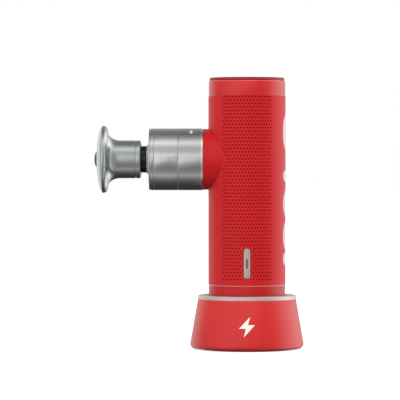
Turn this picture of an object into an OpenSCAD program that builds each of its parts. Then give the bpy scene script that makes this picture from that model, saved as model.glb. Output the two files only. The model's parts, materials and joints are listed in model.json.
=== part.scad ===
// Massage gun standing in its charging dock. Millimetres, +Z up.
// The origin is the centre of the dock's foot, and the barrel points along -X.

/* [Grip] */
// Outside diameter of the perforated grip sleeve
grip_d = 50; // [50:1:64]
// Height of the gun from its underside to the top of its lid
grip_h = 152.8; // [148:0.2:190]
// Wall of the grip sleeve
sleeve_wall = 1.35; // [1:0.05:1.6]
// Wall of the two inner housing halves
housing_wall = 1.8; // [1.4:0.1:2]
// Height of the smooth band below the sleeve
bottom_band_h = 18.1; // [14:0.1:22]
// Height of the thin trim ring under the sleeve
grip_trim_h = 1; // [0.6:0.1:2]
// Height of the smooth band above the sleeve
top_band_h = 10.1; // [8:0.1:12]
// Thickness of the lid above the band
lid_h = 1.7; // [1.2:0.1:2.4]
// How far the two bands lie inside the sleeve's skin
band_step = 0.25; // [0.1:0.05:0.5]
// Drop from the top of the lid to the barrel's axis
axis_drop = 52.8; // [52.4:0.2:62]

/* [Button] */
// Height of the button's centre above the gun's underside
button_up = 33.1; // [31:0.1:44]
// Width of the button's metal surround
bezel_w = 3.9; // [3.4:0.1:5]
// Length of the button's metal surround
bezel_len = 19.7; // [17:0.1:23]
// Width of the button
button_w = 2.4; // [1.8:0.1:3]
// Length of the light slit in the button
slit_len = 6.1; // [5:0.1:8]
// Width of the light slit
slit_w = 1.1; // [0.8:0.1:1.4]
// Travel of the button
button_travel = 0.6; // [0.4:0.1:0.8]

/* [Barrel] */
// Outside diameter of the metal barrel
barrel_d = 40; // [33:0.5:46]
// Wall of the metal barrel
barrel_wall = 2; // [1.6:0.1:2.4]
// Length of the collar between the grip's skin and the barrel
collar_len = 3.4; // [2.6:0.1:6]
// How far the collar lies inside the barrel's skin
collar_step = 0.35; // [0.2:0.05:0.6]
// Length of the rear barrel piece
rear_len = 16; // [14:0.5:20]
// Length of the front barrel piece
front_len = 15.5; // [14:0.5:20]
// Length of the front cap of the barrel
cap_len = 3.5; // [3.2:0.1:5]

/* [Massage head] */
// Diameter of the head's pressing disc
disc_d = 43.6; // [36:0.2:54]
// Diameter of the head's stem
stem_d = 24.5; // [22:0.1:30]
// Length of the stem's straight stretch
stem_len = 13.8; // [12:0.1:20]
// Axial length of the flare from the stem to the disc
flare_len = 7.9; // [6:0.1:12]
// Axial length of the disc's rounded back
back_len = 3; // [2:0.1:4]
// Height of the domed front
dome_h = 4.55; // [3:0.05:7]
// Diameter of the black plug in the dome
plug_d = 9.8; // [8:0.2:13]
// How far the plug stands proud of the dome
plug_proud = 1.35; // [0.6:0.05:2]
// Gap between the barrel and the head at rest
head_gap = 5; // [3.5:0.1:8]

/* [Drive] */
// Stroke of the plunger
stroke = 8; // [6:0.2:10]
// Diameter of the plunger in its bushes
rod_d = 17.2; // [14:0.1:20.8]
// Diameter of the motor's rotor
rotor_d = 34; // [30:0.5:35]
// Height of the motor's rotor
rotor_h = 23.5; // [21:0.5:25]
// Diameter of the motor's shaft
shaft_d = 4; // [3:0.1:4]
// Diameter of the crank pin
pin_d = 3.5; // [3:0.1:4.4]
// Side of the square sliding block
block_w = 8; // [7:0.1:9]
// Radial gap of a running fit
run_gap = 0.05; // [0.02:0.01:0.1]

/* [Battery] */
// Diameter of a cell
cell_d = 18.2; // [14:0.1:18.2]
// Length of a cell
cell_h = 65; // [50:0.5:66]

/* [Dock] */
// Height of the dock to the top of its bright ring
dock_h = 35.1; // [32:0.1:45]
// Depth that the gun sinks into the dock
seat_depth = 12.1; // [10:0.1:13]
// Distance from the grip's skin to the dock's upper edge
rim_w = 6.8; // [6.4:0.1:10]
// How far the dock's foot flares beyond its upper edge
dock_flare = 5; // [2:0.1:8]
// Wall of the dock's shell
dock_wall = 2.2; // [1.8:0.1:2.6]
// Height of the bright ring
ring_h = 2.6; // [2.2:0.1:4]

/* [Hidden] */
$fn = 96;
eps = 0.01;

// Small gap between pieces of one body that nest in each other
fit_gap = 0.05;
// Gap between pieces that only pass each other
free_gap = 0.3;

// Main radii and heights
grip_r = grip_d / 2;
band_r = grip_r - band_step;
housing_r = grip_r - sleeve_wall - fit_gap;
room_r = housing_r - housing_wall;
gun_z = dock_h - seat_depth;
gun_top = gun_z + grip_h;
axis_z = gun_top - axis_drop;
lid_z = gun_top - lid_h;
top_ring_z1 = lid_z - 0.3;
top_ring_z0 = top_ring_z1 - top_band_h;
sleeve_z0 = gun_z + bottom_band_h + grip_trim_h;
sleeve_z1 = top_ring_z0 - 0.1;
housing_z0 = gun_z + 5.5;
housing_z1 = top_ring_z1 - 1.8;
floor_t = 2.5;
lid_plug_len = 5.1;

// Stations along the barrel, as distances forward of the grip's axis
barrel_r = barrel_d / 2;
barrel_in_r = barrel_r - barrel_wall;
collar_r = barrel_r - collar_step;
neck_r = barrel_in_r - 0.4;
neck_in_r = neck_r - housing_wall;
rear_d0 = grip_r + collar_len;
front_d0 = rear_d0 + rear_len;
cap_d0 = front_d0 + front_len;
barrel_end = cap_d0 + cap_len;
neck_end = rear_d0 + 5.6;
lip_len = 4;
lip_wall = 1.05;

// Massage head
head_d0 = barrel_end + head_gap;
stem_r = stem_d / 2;
disc_r = disc_d / 2;
flare_r = disc_r - 3.64;
flare_d0 = head_d0 + stem_len;
back_d0 = flare_d0 + flare_len;
rim_d = back_d0 + back_len;
dome_d = rim_d + dome_h;
plug_r = plug_d / 2;
socket_depth = 16.8;

// Plunger and its guides
rod_r = rod_d / 2;
bore_r = rod_r + run_gap;
bush_wall = 2.35;
bush_len = 4;
bush_r = bore_r + bush_wall;
carrier_r = bush_r + fit_gap + 2.35;
seal_r = rod_r + 3.7;
rear_bush_d = front_d0 + 0.6;
front_bush_d = barrel_end - 7.4;
rod_end = head_d0 + socket_depth - 1.2;
rod_wide_d = rear_bush_d - stroke - 2;
ring_wire = 1.1;

// Crank and yoke: the sliding block gets play across the slot, because the yoke moves evenly
crank_r = stroke / 2;
pin_r = pin_d / 2;
yoke_play = crank_r * 0.2105 + 0.1;
yoke_wall = 2.2;
yoke_half_h = 3.5;
yoke_slot_x = block_w / 2 + yoke_play;
yoke_slot_y = crank_r + block_w / 2 + 0.4;
yoke_x0 = crank_r - yoke_slot_x - yoke_wall;
yoke_x1 = crank_r + yoke_slot_x + yoke_wall;
yoke_tail = 6.35;
stub_r = 2.5;
neck_rod_r = 3.4;
weight_r = 14;
crank_z0 = axis_z + yoke_half_h + 0.5;
crank_h = 4.8;

// Motor, which hangs above the barrel's axis
rotor_r = rotor_d / 2;
rotor_z0 = crank_z0 + crank_h + 0.7;
rotor_z1 = rotor_z0 + rotor_h;
rotor_floor = 2;
rotor_wall = 1;
magnet_r1 = rotor_r - rotor_wall - fit_gap;
magnet_r0 = magnet_r1 - 0.75;
stator_r = magnet_r0 - 0.4;
stator_z0 = rotor_z0 + 8.5;
stator_z1 = rotor_z1 - 3;
slot_count = 12;
slot_r = 2.2;
slot_ring_r = 10.8;
magnet_count = 14;
tube_r = 5;
bearing_r = 4;
bearing_h = 3;
base_z0 = rotor_z1 + 0.5;
base_h = 3;
base_r = room_r - 0.2;
damper_h = 1.9;
ledge_in_r = rotor_r + 1.5;
ledge_h = 2;
ledge_z1 = base_z0 - damper_h;
shaft_r = shaft_d / 2;
lead_r = 0.65;
lead_x = ledge_in_r + 1.7;
lead_rows = [-1.8, 0, 1.8];
motor_screw_ring = (ledge_in_r + room_r) / 2 - 0.15;

// Battery
cell_r = cell_d / 2;
cell_ring_r = (cell_d + 0.16) / sqrt(3);
cell_angles = [90, 210, 330];
gap_angles = [270, 30, 150];
cell_z0 = gun_z + 8;
cell_z1 = cell_z0 + cell_h;
tab_t = 0.3;
holder_floor = 1.8;
holder_grip = 6;
holder_wall = 1.6;
post_ring_r = 12;
board_z = cell_z1 + tab_t + holder_floor + 2.9;
board_t = 1.6;
main_board_r = 15.5;
charge_z = gun_z + floor_t + 0.5;
charge_t = 1.2;
pad_x = [-5, 0, 5];
pad_r = 1.8;
pad_up = 1;

// Housing screws, with their bosses against the wall
boss_r = 2.4;
boss_x = room_r - 2.2;
boss_z = [board_z + 1, lid_z - lid_plug_len - 4];
screw_r = 1;
screw_head_r = 1.9;
cap_boss_ring = room_r - 3.3;
cap_boss_z1 = gun_z + 13;

// Button, set into the side that faces -Y
button_z = gun_z + button_up;
bezel_proud = 0.3;
button_gap = 0.1;
bezel_hole_w = button_w + 2 * button_gap;
bezel_hole_len = bezel_len - bezel_w + bezel_hole_w;
button_len = bezel_len - bezel_w + button_w;
switch_board_y = cell_ring_r / 2 + cell_r + 2.2;
switch_board_t = 1;
switch_board_w = 9;
switch_board_len = bezel_len + 6.1;
switch_h = 2;
switch_stem = 0.6;
stem_back_y = switch_board_y + switch_board_t + switch_h + switch_stem + button_travel + 0.05;
ribbon_w = 5;
ribbon_t = 0.4;

// Dock
dock_top_r = grip_r + rim_w;
dock_foot_r = dock_top_r + dock_flare;
shell_z0 = 0.8;
shell_z1 = dock_h - ring_h;
foot_round = 2.8;
lip_t = 2.2;
lip_r = dock_top_r - 4;
plate_z1 = 4.4;
plate_r = dock_foot_r - 5;
plate_gap = 0.2;
pad_t = 1.6;
foot_pad_r = dock_foot_r - 7;
cradle_in_r = band_r + 0.55;
cradle_r = lip_r - 0.5;
cradle_floor_t = 2;
cradle_floor_z = gun_z - 0.1;
flange_r = dock_top_r - 2;
flange_h = 1.6;
dock_screw_ring = foot_pad_r - 2.8;
dock_boss_r = 2.8;
dock_boss_z1 = cradle_floor_z - cradle_floor_t - 0.5;
dock_screw_r = 1.25;
ballast_r = dock_screw_ring - dock_boss_r - 0.6;
ballast_h = 5.6;
dock_board_z = 12.4;
dock_board_t = 1.6;
dock_board_w = 28;
dock_board_y0 = -18;
dock_board_y1 = 20;
tongue_w = 13;
post_r = 2;
post_places = [[-11, -14], [11, -14], [-11, 14], [11, 14]];
usb_w = 8.94;
usb_h = 3.26;
usb_len = 7.3;
usb_z = dock_board_z + dock_board_t + usb_h / 2;
usb_way_w = 12.8;
usb_way_h = 7.4;
usb_mouth_y = shell_in_r(usb_z) - 1.5;
contact_r = 0.9;
contact_tip_z = gun_z + pad_up - 0.05;
contact_foot_z = contact_tip_z - 6.9;
pin_barrel_r = 1.4;
pin_barrel_z1 = cradle_floor_z - 0.4;
spring_z0 = dock_board_z + dock_board_t + 0.6;
spring_turns = 4;

// Outside radius of the dock's shell at a height
function shell_r(z) =
    dock_foot_r - dock_flare * (z - shell_z0 - foot_round) / (shell_z1 - shell_z0 - foot_round);

// Inside radius of the dock's shell at a height
function shell_in_r(z) = shell_r(z) - dock_wall;

// Points of an elliptical arc about a centre, from one angle to another
function arc(centre, half, from, to, steps = 12) =
    [for (i = [0:steps]) let (a = from + (to - from) * i / steps)
        [centre[0] + half[0] * cos(a), centre[1] + half[1] * sin(a)]];

// ---- Shared shapes ----

// Ring between two radii and two heights
module ring(r_out, r_in, z0, z1) {
    translate([0, 0, z0])
        difference() {
            cylinder(r = r_out, h = z1 - z0);
            translate([0, 0, -1]) cylinder(r = r_in, h = z1 - z0 + 2);
        }
}

// Disc between two heights
module disc(r, z0, z1) {
    translate([0, 0, z0]) cylinder(r = r, h = z1 - z0);
}

// Places its children at an angle and a distance from the vertical axis
module at_polar(angle, distance) {
    rotate([0, 0, angle]) translate([distance, 0, 0]) children();
}

// Turns its children so that their +Z runs forward along the barrel
module along_barrel() {
    translate([0, 0, axis_z]) rotate([0, -90, 0]) children();
}

// Turns its children so that their +Z points out of the button and their +Y points up
module out_of_button() {
    translate([0, 0, button_z]) rotate([90, 0, 0]) children();
}

// Slot shape with round ends, upright
module pill(w, len) {
    for (side = [-1, 1]) translate([0, side * (len - w) / 2]) circle(d = w);
    square([w, len - w], center = true);
}

// Pill standing from one depth to another
module pill_block(w, len, from, to) {
    translate([0, 0, from]) linear_extrude(height = to - from) pill(w, len);
}

// Screw with a flat round head, its head's underside at zero and its shank along +Z
module screw(head_r, head_h, shank_r, shank_len) {
    difference() {
        translate([0, 0, -head_h]) cylinder(r = head_r, h = head_h);
        translate([0, 0, -head_h - 1]) cylinder(r = head_r * 0.5, h = 1 + head_h * 0.5, $fn = 6);
    }
    translate([0, 0, -eps]) cylinder(r = shank_r, h = shank_len + eps);
}

// Round wire along a line of points in one plane, at a distance across that plane
module bent_wire(path, r, across) {
    sides = 8;
    last = len(path) - 1;
    turn = [for (i = [0:last])
        let (a = path[max(i - 1, 0)], b = path[min(i + 1, last)]) atan2(b[1] - a[1], b[0] - a[0])];
    points = [for (i = [0:last]) for (k = [0:sides - 1]) let (a = 360 * k / sides)
        [path[i][0] - r * cos(a) * sin(turn[i]), across + r * sin(a), path[i][1] + r * cos(a) * cos(turn[i])]];
    walls = [for (i = [0:last - 1]) for (k = [0:sides - 1]) let (n = (k + 1) % sides)
        [i * sides + k, (i + 1) * sides + k, (i + 1) * sides + n, i * sides + n]];
    ends = [[for (k = [0:sides - 1]) k], [for (k = [0:sides - 1]) last * sides + sides - 1 - k]];
    polyhedron(points = points, faces = concat(walls, ends), convexity = 8);
}

// ---- Dock ----

// Everything inside the shell's outer skin
module dock_outline() {
    rotate_extrude()
        polygon(concat(
            [[0, shell_z0]],
            arc([dock_foot_r - foot_round, shell_z0 + foot_round], [foot_round, foot_round], -90, 0, 8),
            [[dock_top_r, shell_z1], [0, shell_z1]]
        ));
}

// Hollow of the shell, with its lip at the top and its plate seat at the bottom
module dock_hollow() {
    rotate_extrude()
        polygon([
            [0, shell_z0 - 1], [plate_r + plate_gap, shell_z0 - 1], [plate_r + plate_gap, plate_z1],
            [shell_in_r(plate_z1), plate_z1 + 1.6], [shell_in_r(shell_z1 - lip_t), shell_z1 - lip_t],
            [lip_r, shell_z1 - lip_t], [lip_r, shell_z1 + 1], [0, shell_z1 + 1]
        ]);
}

// Opening in the dock's back for the charging plug
module plug_way() {
    translate([0, dock_foot_r + 5, usb_z])
        rotate([90, 0, 0])
            linear_extrude(height = dock_foot_r + 5 - usb_mouth_y - 0.3)
                rotate([0, 0, 90]) pill(usb_way_h, usb_way_w);
}

module dock_shell() {
    color([0.76, 0.17, 0.17])
        difference() {
            intersection() {
                union() {
                    difference() {
                        dock_outline();
                        dock_hollow();
                    }
                    for (a = [45:90:315]) at_polar(a, dock_screw_ring) {
                        disc(dock_boss_r, plate_z1, dock_boss_z1);
                        translate([0, -0.8, plate_z1])
                            cube([dock_foot_r - dock_screw_ring, 1.6, dock_boss_z1 - plate_z1]);
                    }
                }
                dock_outline();
            }
            for (a = [45:90:315]) at_polar(a, dock_screw_ring)
                disc(dock_screw_r + fit_gap, plate_z1 - 1, plate_z1 + 9);
            plug_way();
        }
}

module dock_trim_ring() {
    color([0.82, 0.8, 0.79])
        rotate_extrude()
            polygon([
                [cradle_in_r + 0.6, dock_h - 1], [cradle_in_r + 0.9, dock_h - 0.2],
                [cradle_in_r + 1.3, dock_h], [dock_top_r - 1.1, dock_h], [dock_top_r - 0.4, dock_h - 0.35],
                [dock_top_r - 0.1, dock_h - 1], [dock_top_r, shell_z1 + 0.02],
                [flange_r + 0.1, shell_z1 + 0.02], [flange_r + 0.1, dock_h - 1]
            ]);
}

module dock_cradle() {
    color([0.16, 0.16, 0.17])
        difference() {
            rotate_extrude()
                polygon([
                    [0, cradle_floor_z - cradle_floor_t], [cradle_r - 0.8, cradle_floor_z - cradle_floor_t],
                    [cradle_r, cradle_floor_z - cradle_floor_t + 0.8], [cradle_r, shell_z1 + 0.02],
                    [flange_r, shell_z1 + 0.02], [flange_r, shell_z1 + flange_h - 0.05],
                    [cradle_in_r, shell_z1 + flange_h - 0.05], [cradle_in_r, cradle_floor_z],
                    [0, cradle_floor_z]
                ]);
            for (x = pad_x) translate([x, 0, 0])
                disc(pin_barrel_r + fit_gap, cradle_floor_z - cradle_floor_t - 1, cradle_floor_z + 1);
        }
}

module dock_base_plate() {
    color([0.2, 0.2, 0.21])
        difference() {
            union() {
                difference() {
                    disc(plate_r, shell_z0, plate_z1);
                    disc(foot_pad_r + 0.1, shell_z0 - 1, pad_t);
                }
                for (p = post_places) translate([p[0], p[1], 0])
                    disc(post_r, plate_z1 - eps, dock_board_z);
            }
            for (a = [45:90:315]) at_polar(a, dock_screw_ring) {
                disc(dock_screw_r + 0.15, 0, plate_z1 + 1);
                disc(dock_screw_r + 1.25, 0, pad_t + 1.6);
            }
            for (p = post_places) translate([p[0], p[1], 0])
                disc(0.8 + fit_gap, dock_board_z - 5, dock_board_z + 1);
        }
}

module dock_foot_pad() {
    color([0.27, 0.07, 0.07])
        rotate_extrude()
            polygon([
                [0, 0], [foot_pad_r - 0.5, 0], [foot_pad_r, 0.5], [foot_pad_r, pad_t - 0.02],
                [0, pad_t - 0.02]
            ]);
}

module dock_ballast() {
    color([0.55, 0.56, 0.58])
        difference() {
            disc(ballast_r, plate_z1 + 0.02, plate_z1 + ballast_h);
            for (p = post_places) translate([p[0], p[1], 0])
                disc(post_r + free_gap, plate_z1 - 1, plate_z1 + ballast_h + 1);
        }
}

module dock_board() {
    color([0.08, 0.3, 0.16])
        difference() {
            union() {
                translate([-dock_board_w / 2, dock_board_y0, dock_board_z + 0.02])
                    cube([dock_board_w, dock_board_y1 - dock_board_y0, dock_board_t - 0.04]);
                translate([-tongue_w / 2, dock_board_y1 - 1, dock_board_z + 0.02])
                    cube([tongue_w, usb_mouth_y - dock_board_y1 + 0.6, dock_board_t - 0.04]);
                // Charging controller and its coil
                translate([-10, -9, dock_board_z + dock_board_t - 0.03]) cube([6, 6, 1.2]);
                translate([6, -10, dock_board_z + dock_board_t - 0.03]) cube([5, 5, 2.6]);
            }
            for (p = post_places) translate([p[0], p[1], 0])
                disc(0.8 + fit_gap, dock_board_z - 1, dock_board_z + dock_board_t + 1);
        }
}

module dock_usb_socket() {
    color([0.78, 0.78, 0.8])
        translate([0, usb_mouth_y, usb_z])
            rotate([90, 0, 0]) {
                difference() {
                    linear_extrude(height = usb_len) rotate([0, 0, 90]) pill(usb_h, usb_w);
                    translate([0, 0, -1])
                        linear_extrude(height = usb_len)
                            rotate([0, 0, 90]) pill(usb_h - 0.6, usb_w - 0.6);
                }
                translate([-3.3, -0.35, 0.8]) cube([6.6, 0.7, usb_len - 1.2]);
            }
}

module dock_pin_barrels() {
    color([0.85, 0.68, 0.3])
        for (x = pad_x) translate([x, 0, 0])
            difference() {
                disc(pin_barrel_r, dock_board_z + dock_board_t, pin_barrel_z1);
                disc(contact_r + run_gap, spring_z0 - 0.1, pin_barrel_z1 + 1);
            }
}

module dock_contact_pins() {
    color([0.9, 0.75, 0.35])
        for (x = pad_x) translate([x, 0, 0])
            rotate_extrude()
                polygon(concat(
                    [[0, contact_foot_z], [contact_r, contact_foot_z]],
                    arc([0, contact_tip_z - contact_r], [contact_r, contact_r], 0, 90, 8)
                ));
}

module dock_pin_springs() {
    wire = 0.18;
    coil_r = contact_r - 0.35;
    steps = 12 * spring_turns;
    sides = 6;
    rise = contact_foot_z - 0.05 - 2 * wire - spring_z0;
    points = [for (i = [0:steps]) for (k = [0:sides - 1])
        let (t = 360 * spring_turns * i / steps, a = 360 * k / sides, r = coil_r + wire * cos(a))
        [r * cos(t), r * sin(t), spring_z0 + wire + rise * i / steps + wire * sin(a)]];
    walls = [for (i = [0:steps - 1]) for (k = [0:sides - 1]) let (n = (k + 1) % sides)
        [i * sides + k, i * sides + n, (i + 1) * sides + n, (i + 1) * sides + k]];
    ends = [[for (k = [0:sides - 1]) sides - 1 - k], [for (k = [0:sides - 1]) steps * sides + k]];
    color([0.7, 0.7, 0.72])
        for (x = pad_x) translate([x, 0, 0])
            polyhedron(points = points, faces = concat(walls, ends), convexity = 8);
}

module dock_screws() {
    color([0.6, 0.6, 0.62])
        for (a = [45:90:315]) at_polar(a, dock_screw_ring)
            translate([0, 0, pad_t + 1.55]) screw(2.2, 1.5, dock_screw_r, 9);
}

module dock_board_screws() {
    color([0.6, 0.6, 0.62])
        for (p = post_places) translate([p[0], p[1], dock_board_z + dock_board_t])
            rotate([180, 0, 0]) screw(1.6, 1, 0.8, 5.5);
}

// ---- Housing, sleeve and bands ----

// The whole inner frame before it is split down the middle
module housing_frame() {
    difference() {
        union() {
            difference() {
                union() {
                    disc(housing_r, housing_z0, housing_z1);
                    along_barrel() disc(neck_r, 0, neck_end);
                }
                disc(room_r, housing_z0 - 1, housing_z1 + 1);
                along_barrel() disc(neck_in_r, 0, neck_end + 1);
            }
            // Ledge that carries the motor's damper
            difference() {
                disc(room_r + 0.5, ledge_z1 - ledge_h, ledge_z1);
                disc(ledge_in_r, ledge_z1 - ledge_h - 1, ledge_z1 + 1);
            }
            // Bosses of the four cross screws
            for (side = [-1, 1]) for (z = boss_z)
                intersection() {
                    translate([side * boss_x, housing_r, z])
                        rotate([90, 0, 0]) cylinder(r = boss_r, h = 2 * housing_r);
                    disc(housing_r - 0.3, housing_z0, housing_z1);
                }
        }
        for (side = [-1, 1]) for (z = boss_z) translate([side * boss_x, 0, z]) rotate([-90, 0, 0]) {
            translate([0, 0, -8]) cylinder(r = screw_r + fit_gap, h = 20);
            translate([0, 0, 5]) cylinder(r = screw_head_r + 0.15, h = 20);
        }
        for (a = cell_angles) at_polar(a, motor_screw_ring)
            disc(screw_r + fit_gap, ledge_z1 - ledge_h - 1, ledge_z1 + 1);
        lead_notch(ledge_z1 - ledge_h - 1, ledge_z1 + 1);
        out_of_button() pill_block(bezel_w + 0.2, bezel_len + 0.2, room_r - 2, grip_r + 2);
    }
}

// Bosses for the screws of the bottom cap, one at each angle
module cap_bosses(angles) {
    difference() {
        intersection() {
            for (a = angles) at_polar(a, cap_boss_ring) {
                disc(2.5, gun_z + floor_t + fit_gap, cap_boss_z1);
                translate([0, -1, housing_z0]) cube([room_r - cap_boss_ring + 0.6, 2, cap_boss_z1 - housing_z0]);
            }
            disc(housing_r, gun_z, cap_boss_z1);
        }
        for (a = angles) at_polar(a, cap_boss_ring) disc(screw_r + fit_gap, gun_z, cap_boss_z1 - 1.5);
    }
}

// Way for the motor's leads at the back of the grip
module lead_notch(z0, z1) {
    translate([ledge_in_r - 0.6, -3.4, z0]) cube([room_r - ledge_in_r + 0.6, 6.8, z1 - z0]);
}

// One side of the split, as a block that is kept
module half_space(side) {
    translate([-neck_end - 10, side > 0 ? 0.02 : -60.02, 0]) cube([neck_end + 60, 60, gun_top + 10]);
}

module housing_left() {
    color([0.22, 0.22, 0.24]) {
        intersection() {
            housing_frame();
            half_space(-1);
        }
        cap_bosses([gap_angles[0]]);
        // Posts that carry the switch board
        for (x = [-3, 3]) for (up = [-1, 1])
            translate([0, 0, button_z + up * (switch_board_len / 2 - 1.8)])
                rotate([90, 0, 0])
                    translate([x, 0, switch_board_y + switch_board_t + 0.02])
                        cylinder(r = 1.2, h = room_r + 0.5 - switch_board_y - switch_board_t);
    }
}

module housing_right() {
    color([0.24, 0.24, 0.26]) {
        intersection() {
            housing_frame();
            half_space(1);
        }
        cap_bosses([gap_angles[1], gap_angles[2]]);
    }
}

module housing_screws() {
    color([0.6, 0.6, 0.62])
        for (side = [-1, 1]) for (z = boss_z) translate([side * boss_x, 5, z])
            rotate([90, 0, 0]) screw(screw_head_r, 1.2, screw_r, 11);
}

module grip_sleeve() {
    color([0.72, 0.11, 0.13])
        difference() {
            ring(grip_r, housing_r + fit_gap, sleeve_z0 + 0.02, sleeve_z1);
            along_barrel() disc(collar_r + 0.1, 0, grip_r + 5);
            out_of_button() pill_block(bezel_w + 0.2, bezel_len + 0.2, room_r, grip_r + 2);
        }
}

module grip_trim_ring() {
    color([0.83, 0.28, 0.29])
        ring(grip_r, housing_r + fit_gap, sleeve_z0 - grip_trim_h + 0.02, sleeve_z0);
}

module top_ring() {
    color([0.79, 0.2, 0.21])
        rotate_extrude()
            polygon([
                [housing_r + fit_gap, top_ring_z0], [band_r, top_ring_z0], [band_r, top_ring_z1 - 0.4],
                [band_r - 0.4, top_ring_z1], [housing_r + fit_gap, top_ring_z1]
            ]);
}

module top_lid() {
    color([0.55, 0.08, 0.1])
        rotate_extrude()
            polygon(concat(
                [[0, lid_z - lid_plug_len], [room_r - 0.2, lid_z - lid_plug_len], [room_r - 0.2, lid_z],
                 [band_r - 0.55, lid_z]],
                arc([band_r - 1.35, gun_top - 0.8], [0.8, 0.8], 0, 90, 6),
                [[0, gun_top]]
            ));
}

module bottom_cap() {
    color([0.74, 0.19, 0.18])
        difference() {
            union() {
                rotate_extrude()
                    polygon([
                        [0, gun_z], [band_r - 0.8, gun_z], [band_r, gun_z + 0.8],
                        [band_r, sleeve_z0 - grip_trim_h], [housing_r + fit_gap, sleeve_z0 - grip_trim_h],
                        [housing_r + fit_gap, gun_z + floor_t], [0, gun_z + floor_t]
                    ]);
                // Posts under the charging board
                for (a = cell_angles) at_polar(a, post_ring_r)
                    disc(1.5, gun_z + floor_t - eps, charge_z - 0.02);
            }
            for (x = pad_x) translate([x, 0, 0]) disc(pad_r + 0.2, gun_z - 1, gun_z + floor_t + 1);
            for (a = gap_angles) at_polar(a, cap_boss_ring) {
                disc(screw_r + 0.1, gun_z - 1, gun_z + floor_t + 1);
                disc(screw_head_r + 0.2, gun_z - 1, gun_z + 1.3);
            }
        }
}

module bottom_cap_screws() {
    color([0.6, 0.6, 0.62])
        for (a = gap_angles) at_polar(a, cap_boss_ring)
            translate([0, 0, gun_z + 1.28]) screw(screw_head_r, 1.1, screw_r, 9.5);
}

// ---- Barrel ----

module neck_collar() {
    color([0.76, 0.16, 0.17])
        difference() {
            along_barrel()
                rotate_extrude()
                    polygon([
                        [neck_r + fit_gap, 0], [collar_r, 0], [collar_r, rear_d0 - 0.02],
                        [neck_r + fit_gap, rear_d0 - 0.02]
                    ]);
            disc(housing_r + fit_gap, axis_z - barrel_r - 1, axis_z + barrel_r + 1);
        }
}

module barrel_rear() {
    color([0.66, 0.66, 0.67])
        along_barrel()
            rotate_extrude()
                polygon([
                    [neck_r + fit_gap, rear_d0], [barrel_r - 0.25, rear_d0], [barrel_r, rear_d0 + 0.25],
                    [barrel_r, front_d0 - 0.22], [barrel_r - 0.2, front_d0 - 0.02],
                    [barrel_in_r - fit_gap, front_d0 - 0.02], [barrel_in_r - fit_gap, front_d0 + lip_len],
                    [barrel_in_r - lip_wall, front_d0 + lip_len], [barrel_in_r - lip_wall, neck_end + 1.5],
                    [neck_r + fit_gap, neck_end + 0.5]
                ]);
}

module barrel_front() {
    color([0.72, 0.72, 0.73])
        along_barrel()
            rotate_extrude()
                polygon([
                    [barrel_in_r, front_d0], [barrel_r - 0.2, front_d0], [barrel_r, front_d0 + 0.2],
                    [barrel_r, cap_d0 - 0.2], [barrel_r - 0.2, cap_d0 - 0.02], [barrel_in_r, cap_d0 - 0.02]
                ]);
}

module barrel_cap() {
    groove_d = barrel_end - 1.1;
    color([0.74, 0.74, 0.75])
        along_barrel()
            rotate_extrude()
                polygon([
                    [barrel_r - 0.2, cap_d0], [barrel_r, cap_d0 + 0.2],
                    [barrel_r, groove_d - 0.15], [barrel_r - 0.3, groove_d], [barrel_r, groove_d + 0.15],
                    [barrel_r, barrel_end - 0.5], [barrel_r - 0.5, barrel_end],
                    [seal_r + 0.1, barrel_end], [seal_r + 0.1, barrel_end - 1.8],
                    [barrel_in_r - lip_wall, barrel_end - 1.8], [barrel_in_r - lip_wall, cap_d0 - 1.9],
                    [barrel_in_r - fit_gap, cap_d0 - 1.9], [barrel_in_r - fit_gap, cap_d0]
                ]);
}

module guide_carrier() {
    carrier_d0 = rear_bush_d - 1.4;
    carrier_d1 = front_bush_d + bush_len + 0.3;
    color([0.18, 0.18, 0.19])
        along_barrel()
            rotate_extrude()
                polygon([
                    [bush_r + fit_gap, carrier_d0], [carrier_r, carrier_d0],
                    [carrier_r, rear_bush_d + 0.2], [barrel_in_r - lip_wall - 0.1, rear_bush_d + 0.2],
                    [barrel_in_r - lip_wall - 0.1, rear_bush_d + 3.2], [carrier_r, rear_bush_d + 3.2],
                    [carrier_r, cap_d0 - 5.1], [barrel_in_r - 0.1, cap_d0 - 5.1],
                    [barrel_in_r - 0.1, cap_d0 - 2.1], [carrier_r, cap_d0 - 2.1],
                    [carrier_r, carrier_d1], [bush_r + fit_gap, carrier_d1]
                ]);
}

module guide_bushes() {
    color([0.72, 0.53, 0.25])
        along_barrel()
            for (d = [rear_bush_d, front_bush_d]) ring(bush_r, bore_r, d, d + bush_len);
}

module plunger_seal() {
    lip_r0 = rod_r + 0.15;
    color([0.07, 0.07, 0.07])
        along_barrel()
            rotate_extrude()
                polygon([
                    [lip_r0, barrel_end - 2.9], [seal_r + 0.9, barrel_end - 2.9],
                    [seal_r + 0.9, barrel_end - 1.9], [seal_r, barrel_end - 1.9],
                    [seal_r, barrel_end - 0.2], [rod_r + 1, barrel_end],
                    [rod_r + 0.6, barrel_end + 1.5], [lip_r0, barrel_end + 1.5]
                ]);
}

// ---- Motor and crank ----

module motor_base() {
    color([0.75, 0.75, 0.77])
        difference() {
            union() {
                disc(base_r, base_z0, base_z0 + base_h);
                disc(tube_r, stator_z0 - bearing_h, base_z0 + eps);
            }
            disc(bearing_r, stator_z0 - bearing_h - 1, base_z0 + 0.6);
            for (a = cell_angles) at_polar(a, motor_screw_ring)
                disc(screw_r + 0.1, base_z0 - 1, base_z0 + base_h + 1);
            for (y = lead_rows) translate([11.5, y, 0])
                disc(lead_r + 0.1, base_z0 - 1, base_z0 + base_h + 1);
            lead_notch(base_z0 - 1, base_z0 + base_h + 1);
        }
}

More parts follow.
